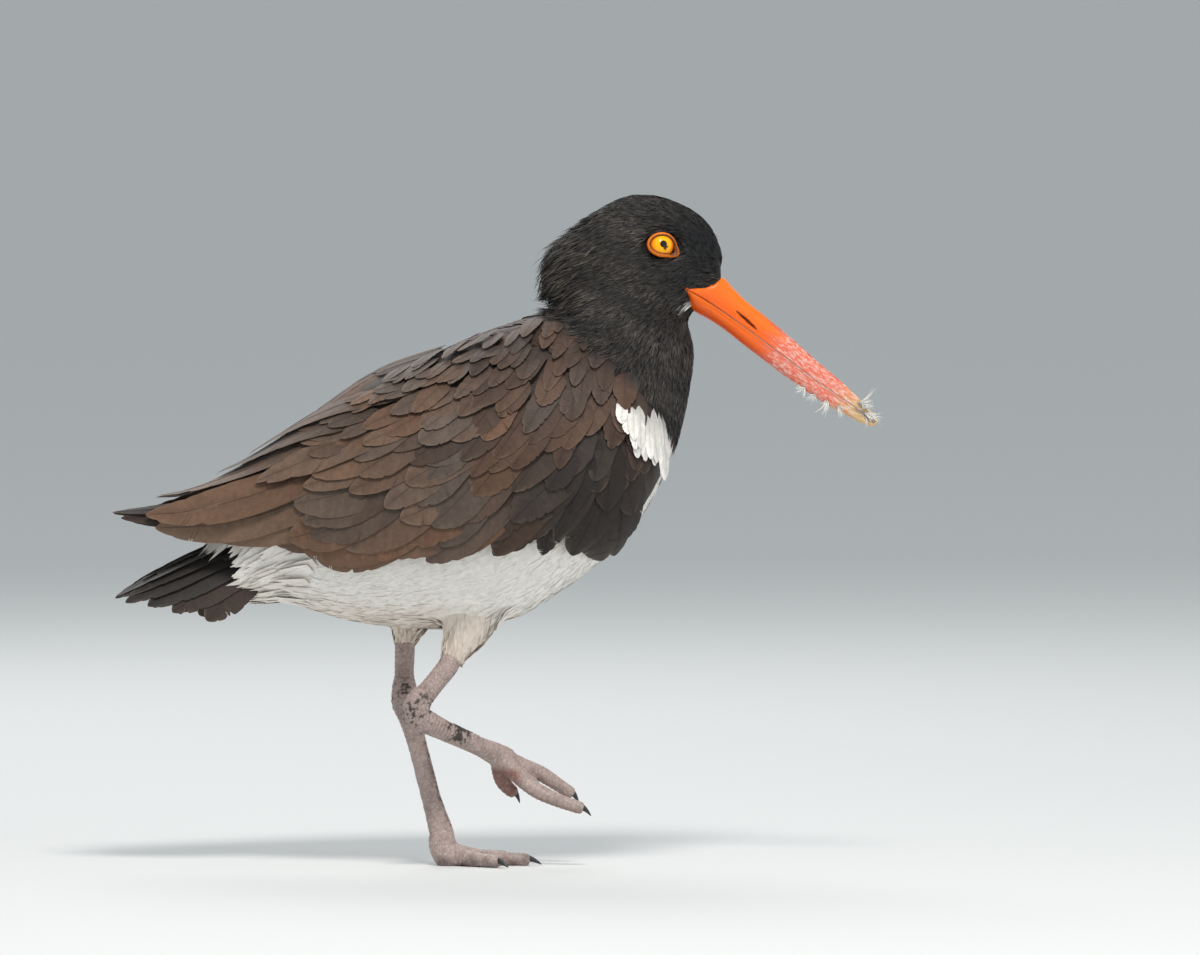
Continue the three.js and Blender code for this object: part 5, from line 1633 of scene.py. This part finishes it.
# Legs: bare below the thigh feathers, dull pinkish grey, thick at the ankle. Horny scutes cover the front
# of the shank and the top of each toe, and dried mud sticks to the skin, which is one piece with the web.
TARSUS = 3.6
TOE = 3.1
LEG_VOXEL = 0.55
LEG_SMOOTHING = 6
LEG_RINGS = 40
PINK_GREY = linear(0.67, 0.59, 0.565)
LEG_DARK = linear(0.45, 0.36, 0.34)
LEG_PALE = linear(0.80, 0.76, 0.73)
SOLE_RED = linear(0.52, 0.33, 0.28)
MUD = linear(0.13, 0.10, 0.085)
# The bare upper leg, the ankle and the shank of each side, from the top down, in rows of
# [x, y, z, half depth, half width].
leg_rows = {
    "right": [
        [
            [-1.2, -24.4, 87, 4.0, 3.8], [-2.2, -24.6, 84, 4.2, 3.9], [-8, -26.4, 76.5, 4.1, 3.5],
            [-13, -27.6, 70.5, 4.6, 3.9], [-13.8, -27.8, 69.6, 4.8, 4.1],
        ],
        [
            [-12.4, -27.7, 73, 4.3, 3.8], [-13.4, -27.8, 71.2, 4.9, 4.1],
            [-15.4, -28, 66.6, 5.6, 4.6], [-16, -27.8, 62.6, 4.2, 4],
        ],
        [
            [-18.6, -28, 64.2, 3.4, 3.4], [-13.5, -26.4, 61.6, 5, 4.2], [-3, -20, 56, 4.1, 3.3],
            [9, -11, 50, TARSUS + 0.2, 3.0], [17, -4, 45.8, 4.6, 3.6], [21, -1, 43.6, 3.8, 4.6],
        ],
    ],
    "left": [
        [
            [-20.8, 15.9, 91, 4.0, 3.6], [-20.8, 15.8, 88, 4.0, 3.6], [-21, 14, 79, 3.9, 3.5],
            [-21, 12.5, 72.5, 4.7, 4.0], [-21, 12, 71, 4.8, 4.0],
        ],
        [
            [-21, 12.6, 75.5, 4.4, 3.9], [-21, 12.2, 73.5, 4.9, 4.1], [-20.8, 10.8, 67, 5.5, 4.4],
            [-18.6, 9, 60, 4.6, 3.7], [-15, 6.6, 47, TARSUS + 0.2, 3.1],
            [-10, 3.2, 28, TARSUS + 0.3, 3.1], [-5.5, 0.9, 13, 4.9, 3.8], [-4, 0.4, 7, 4.6, 4.6],
        ],
    ],
}
# Where the standing foot's toes meet, [X, Y], and the height of a toe's middle over the floor.
BALL = (-2.5, 0.1)
SOLE = 2.5
raised_toes = {
    "outer": [[20, -3, 43.5], [26, -5, 37], [34, -7.5, 31], [43, -9, 27], [51.5, -10, 24.2]],
    "middle": [[21, -0.5, 44], [28, 1.5, 40.5], [35, 3, 37.5], [42, 4, 33], [47.5, 4.5, 29.3]],
    "inner": [[18, 1.5, 42], [18.5, 4, 38], [19.5, 6, 34.5], [21.5, 7.5, 31.5], [23.8, 8.5, 29.5]],
}
standing_toes = {}
# Each toe's heading in degrees, and its length.
toe_plan = {"inner": (-38, 25), "middle": (-3, 32), "outer": (33, 27)}
toe_rise = [6.2, 4.2, SOLE + 0.4, SOLE + 0.2, SOLE - 0.1]
for toe_name, (heading, length) in toe_plan.items():
    way = (math.cos(math.radians(heading)), math.sin(math.radians(heading)))
    standing_toes[toe_name] = [
        [BALL[0] + way[0] * length * i / 4, BALL[1] + way[1] * length * i / 4, z]
        for i, z in enumerate(toe_rise)
    ]
# The pads under the toes' roots, and the web between the outer two.
pad_rows = {
    "right": [
        [
            [17.4, -3.6, 45.6, 4.8, 3.9], [20, -1.5, 43.5, 5.4, 5], [24, 0, 41, 4, 4.6],
        ],
        [
            [22, -2, 41.5, 2.2, 3.6], [28, -2, 37, 1.7, 3.8], [34, -2.2, 33.2, 1.3, 3],
        ],
    ],
    "left": [
        [
            [-6, 0.7, 12.4, 5, 3.9], [-5, 0.3, 8, 5.6, 5], [-2.5, 0.1, 4, 6, 6.5],
            [1.5, 0.1, 2.6, 4, 6],
        ],
        [
            [-2, 0, 3.0, 2.2, 5], [5, 2, 2.4, 1.8, 4.6], [11, 3.8, 1.9, 1.4, 3.4],
        ],
    ],
}
SCUTE_LENGTH = {"shank": 1.7, "toe": 1.9}
leg_skin = soft_skin_material("leg skin", 700, 0.6, 0.58, 0.08)
claw_horn = soft_skin_material("claw horn", 700, 0.15, 0.4, 0.3)
CLAW_BLACK = linear(0.13, 0.13, 0.14)
CLAW_LENGTH = {"left": 7.0, "right": 5.95}
CLAW_RINGS = 26
CLAW_SIDES = 22


def toe_rows(points):
    """A toe's rows: it swells at each joint and tapers towards the claw."""
    rows = []
    for i, (x, y, z) in enumerate(points):
        t = i / (len(points) - 1)
        size = TOE * (1.12 - 0.3 * t - 0.04 * math.cos(t * 18))
        rows.append([x, y, z, size, size * 1.02])
    last, before = np.array(points[-1]), np.array(points[-2])
    end = last + unit(last - before) * 1.2
    rows.append([*end, TOE * 0.5, TOE * 0.52])
    return rows


for side_name, toes in (("left", standing_toes), ("right", raised_toes)):
    limbs = [(rows, "shank") for rows in leg_rows[side_name]]
    limbs += [(rows, "pad") for rows in pad_rows[side_name]]
    limbs += [(toe_rows(points), "toe") for points in toes.values()]
    lofts = [closed_loft(limb_rings(rows, LEG_RINGS, LIMB_SIDES)) for rows, _ in limbs]
    leg = triangle_mesh("leg", *merged(lofts))
    points, triangles, normals = remeshed(leg, LEG_VOXEL, LEG_SMOOTHING)
    # Scutes: overlapping plates across the front of the shank and the top of each toe. Each point of the
    # skin takes its place along the limb from the limb's middle line.
    middle_lines = []
    for rows, kind in limbs:
        if kind == "pad":
            continue
        read = smooth_rows(np.column_stack([np.arange(len(rows)), np.array(rows, float)]))
        line = read(np.linspace(0, len(rows) - 1, 90))[:, :3]
        run = np.concatenate([[0], np.cumsum(np.linalg.norm(np.diff(line, axis=0), axis=1))])
        middle_lines.append((line, run, kind))
    line_tree = KDTree(sum(len(line) for line, _, _ in middle_lines))
    facts = []
    for line, run, kind in middle_lines:
        for p, r in zip(line, run):
            line_tree.insert(p, len(facts))
            facts.append((r, kind == "toe"))
    line_tree.balance()
    facts = [facts[line_tree.find(p)[1]] for p in points]
    run = np.array([r for r, _ in facts])
    is_toe = np.array([toe for _, toe in facts])
    toe_top = np.abs(normals[:, 2]) * (normals[:, 2] > -0.1)
    top_side = np.where(is_toe, toe_top, np.clip(normals[:, 0] * 1.2, 0, 1))
    plated = np.clip(top_side * 1.6, 0, 1)
    pitch = np.where(is_toe, SCUTE_LENGTH["toe"], SCUTE_LENGTH["shank"])
    phase = (run / pitch + 0.15 * np.sin(normals[:, 1] * 3)) % 1.0
    plate = np.clip(phase * 6, 0, 1) * (1 - 0.35 * phase)
    ankle_z, ankle_x = (66, -15) if side_name == "right" else (69, -20)
    near_ankle = np.exp(-(((points[:, 2] - ankle_z) / 8) ** 2) - ((points[:, 0] - ankle_x) / 9) ** 2)
    raised = 0.24 * (plate - 0.5) * plated
    wrinkle = 0.09 * np.sin(run * 3.1 + normals[:, 1] * 2) * np.clip(1 - top_side * 1.6, 0, 1)
    folds = 0.3 * np.abs(np.sin(run * 1.5 + 0.6 * np.sin(normals[:, 1] * 2))) * near_ankle
    points = points + normals * (raised + wrinkle - folds + 0.1)[:, None]
    x, _, z = points.T
    broad = speckle(points, 0.22)
    fine = speckle(points, 0.75)
    shade = mixed(PINK_GREY, LEG_DARK, 0.6 * (1 - np.clip(phase * 5, 0, 1)) * plated)
    shade = mixed(shade, LEG_DARK, 0.45 * np.clip(broad + 0.1, 0, 1))
    shade = mixed(shade, LEG_PALE, 0.5 * np.clip(fine, 0, 1))
    spots = np.clip((fine + 0.5 * broad - 0.22) * 7, 0, 1)
    shade = mixed(shade, MUD, 0.9 * spots * np.clip(near_ankle * 1.6, 0, 1))
    if side_name == "right":
        cake = np.hypot((x - 3.6) / 5.4, (z - 57.6) / 4.6)
        mud = np.clip((0.95 - cake + 0.9 * broad + 0.6 * fine) * 5, 0, 1) * (normals[:, 1] < 0.45)
        scatter = np.clip((fine - 0.2) * 8, 0, 1) * np.clip(1.9 - cake, 0, 1) * (normals[:, 1] < 0.45)
        points = points + normals * (0.3 * mud * (0.7 + 0.5 * fine))[:, None]
        shade = mixed(shade, MUD, 0.93 * np.maximum(mud, scatter))
        lobe = np.clip((28 - x) / 3, 0, 1) * np.clip((41.5 - z) / 3, 0, 1) * (x > 14)
        under = np.clip(-normals[:, 2] * 1.6 - 0.5, 0, 1) * (x > 17)
        red = np.maximum(0.85 * lobe, 0.6 * under) * np.clip(0.9 + 0.5 * fine, 0, 1)
        shade = mixed(shade, SOLE_RED, red)
    else:
        on_front = np.clip(normals[:, 0] * 2 - 0.6, 0, 1)
        edge_mud = np.clip((fine + broad * 0.6 - 0.12) * 6, 0, 1) * on_front
        shade = mixed(shade, MUD, 0.85 * edge_mud * (z > 14) * (z < 62))
        foot_mud = 0.4 * np.clip((5 - z) / 5 + broad, 0, 1) * np.clip((16 - z) / 6, 0, 1)
        shade = mixed(shade, MUD, foot_mud)
        # The sole of the standing foot is pressed flat.
        points[:, 2] = np.maximum(points[:, 2], 0.0)
    leg = triangle_mesh(f"leg_{side_name}_skin", points, triangles, np.clip(shade, 0, 1))
    leg.data.materials.append(leg_skin)
    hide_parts(f"tibia_{side_name}", f"tarsus_{side_name}", f"foot_{side_name}")
    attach(leg, "root")

    # Claws: short, blunt sheaths of blue-black horn. Each grows out of its toe's tip and curves down.
    for toe_name, toe_points in toes.items():
        tip, before = np.array(toe_points[-1], float), np.array(toe_points[-2], float)
        along = unit(tip - before)
        across = unit(np.cross(along, np.array([0.0, 0.0, 1.0])))
        up = np.cross(across, along)
        t = np.linspace(0, 0.995, CLAW_RINGS)[:, None]
        centre = tip - along * 0.8 + along * t * CLAW_LENGTH[side_name] + up * (0.7 - 2.4 * t**2)
        size = 1.5 * (1 - t) ** 0.7 + 0.12
        size = size * (1 + 0.03 * np.sin(t * 40))
        claw_rings = oval_rings(centre, across * size * 0.8, up * size, CLAW_SIDES)
        claw_points, claw_triangles = closed_loft(claw_rings)
        if side_name == "left":
            claw_points[:, 2] = np.maximum(claw_points[:, 2], 0.05)
        reach = np.append(np.repeat(t.ravel(), CLAW_SIDES), [0, 1])
        colour = mixed(LEG_DARK, CLAW_BLACK, np.clip(reach * 8, 0, 1))
        colour = mixed(colour, CLAW_BLACK * 2.2, reach * 0.4)
        claw = triangle_mesh(f"claw_{side_name}_{toe_name}_horn", claw_points, claw_triangles, colour)
        claw.data.materials.append(claw_horn)
        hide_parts(f"claw_{side_name}_{toe_name}")
        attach(claw, "root")

# The floor, plain, pale and matt, and the studio light: a key from above on the camera's side, a broad
# weaker fill from ahead of the bird, a rim light from behind it, and an even pale surround.
FLOOR_HALF = 60
floor_corners = [(x * FLOOR_HALF, y * FLOOR_HALF, 0) for x, y in ((-1, -1), (1, -1), (1, 1), (-1, 1))]
floor_mesh = bpy.data.meshes.new("floor")
floor_mesh.from_pydata(floor_corners, [], [(0, 1, 2, 3)])
floor = bpy.data.objects.new("floor", floor_mesh)
bpy.context.scene.collection.objects.link(floor)
floor_material, shader, add, link = new_material("pale floor")
set_values(shader, {"Base Color": (0.68, 0.69, 0.69, 1.0), "Roughness": 0.9})
floor.data.materials.append(floor_material)

lights = {
    "key": {"place": (0.15, -1.1, 1.75), "size": 0.45, "power": 27.0, "colour": (1.0, 0.97, 0.92)},
    "fill": {"place": (1.3, -1.2, 0.6), "size": 1.6, "power": 6.0, "colour": (0.95, 0.97, 1.0)},
    "rim": {"place": (-0.3, 1.3, 1.3), "size": 1.0, "power": 10.0, "colour": (1.0, 1.0, 1.0)},
}
light_target = Vector((0.02, 0.0, 0.16))
for light_name, light in lights.items():
    lamp_data = bpy.data.lights.new(light_name, "AREA")
    lamp_data.energy = light["power"]
    lamp_data.size = light["size"]
    lamp_data.color = light["colour"]
    lamp = bpy.data.objects.new(light_name, lamp_data)
    lamp.location = light["place"]
    aim = light_target - Vector(light["place"])
    lamp.rotation_euler = aim.to_track_quat("-Z", "Y").to_euler()
    bpy.context.scene.collection.objects.link(lamp)
surround = bpy.data.worlds.new("studio")
surround.use_nodes = True
set_values(surround.node_tree.nodes["Background"], {"Color": (0.66, 0.70, 0.72, 1.0), "Strength": 0.78})
bpy.context.scene.world = surround
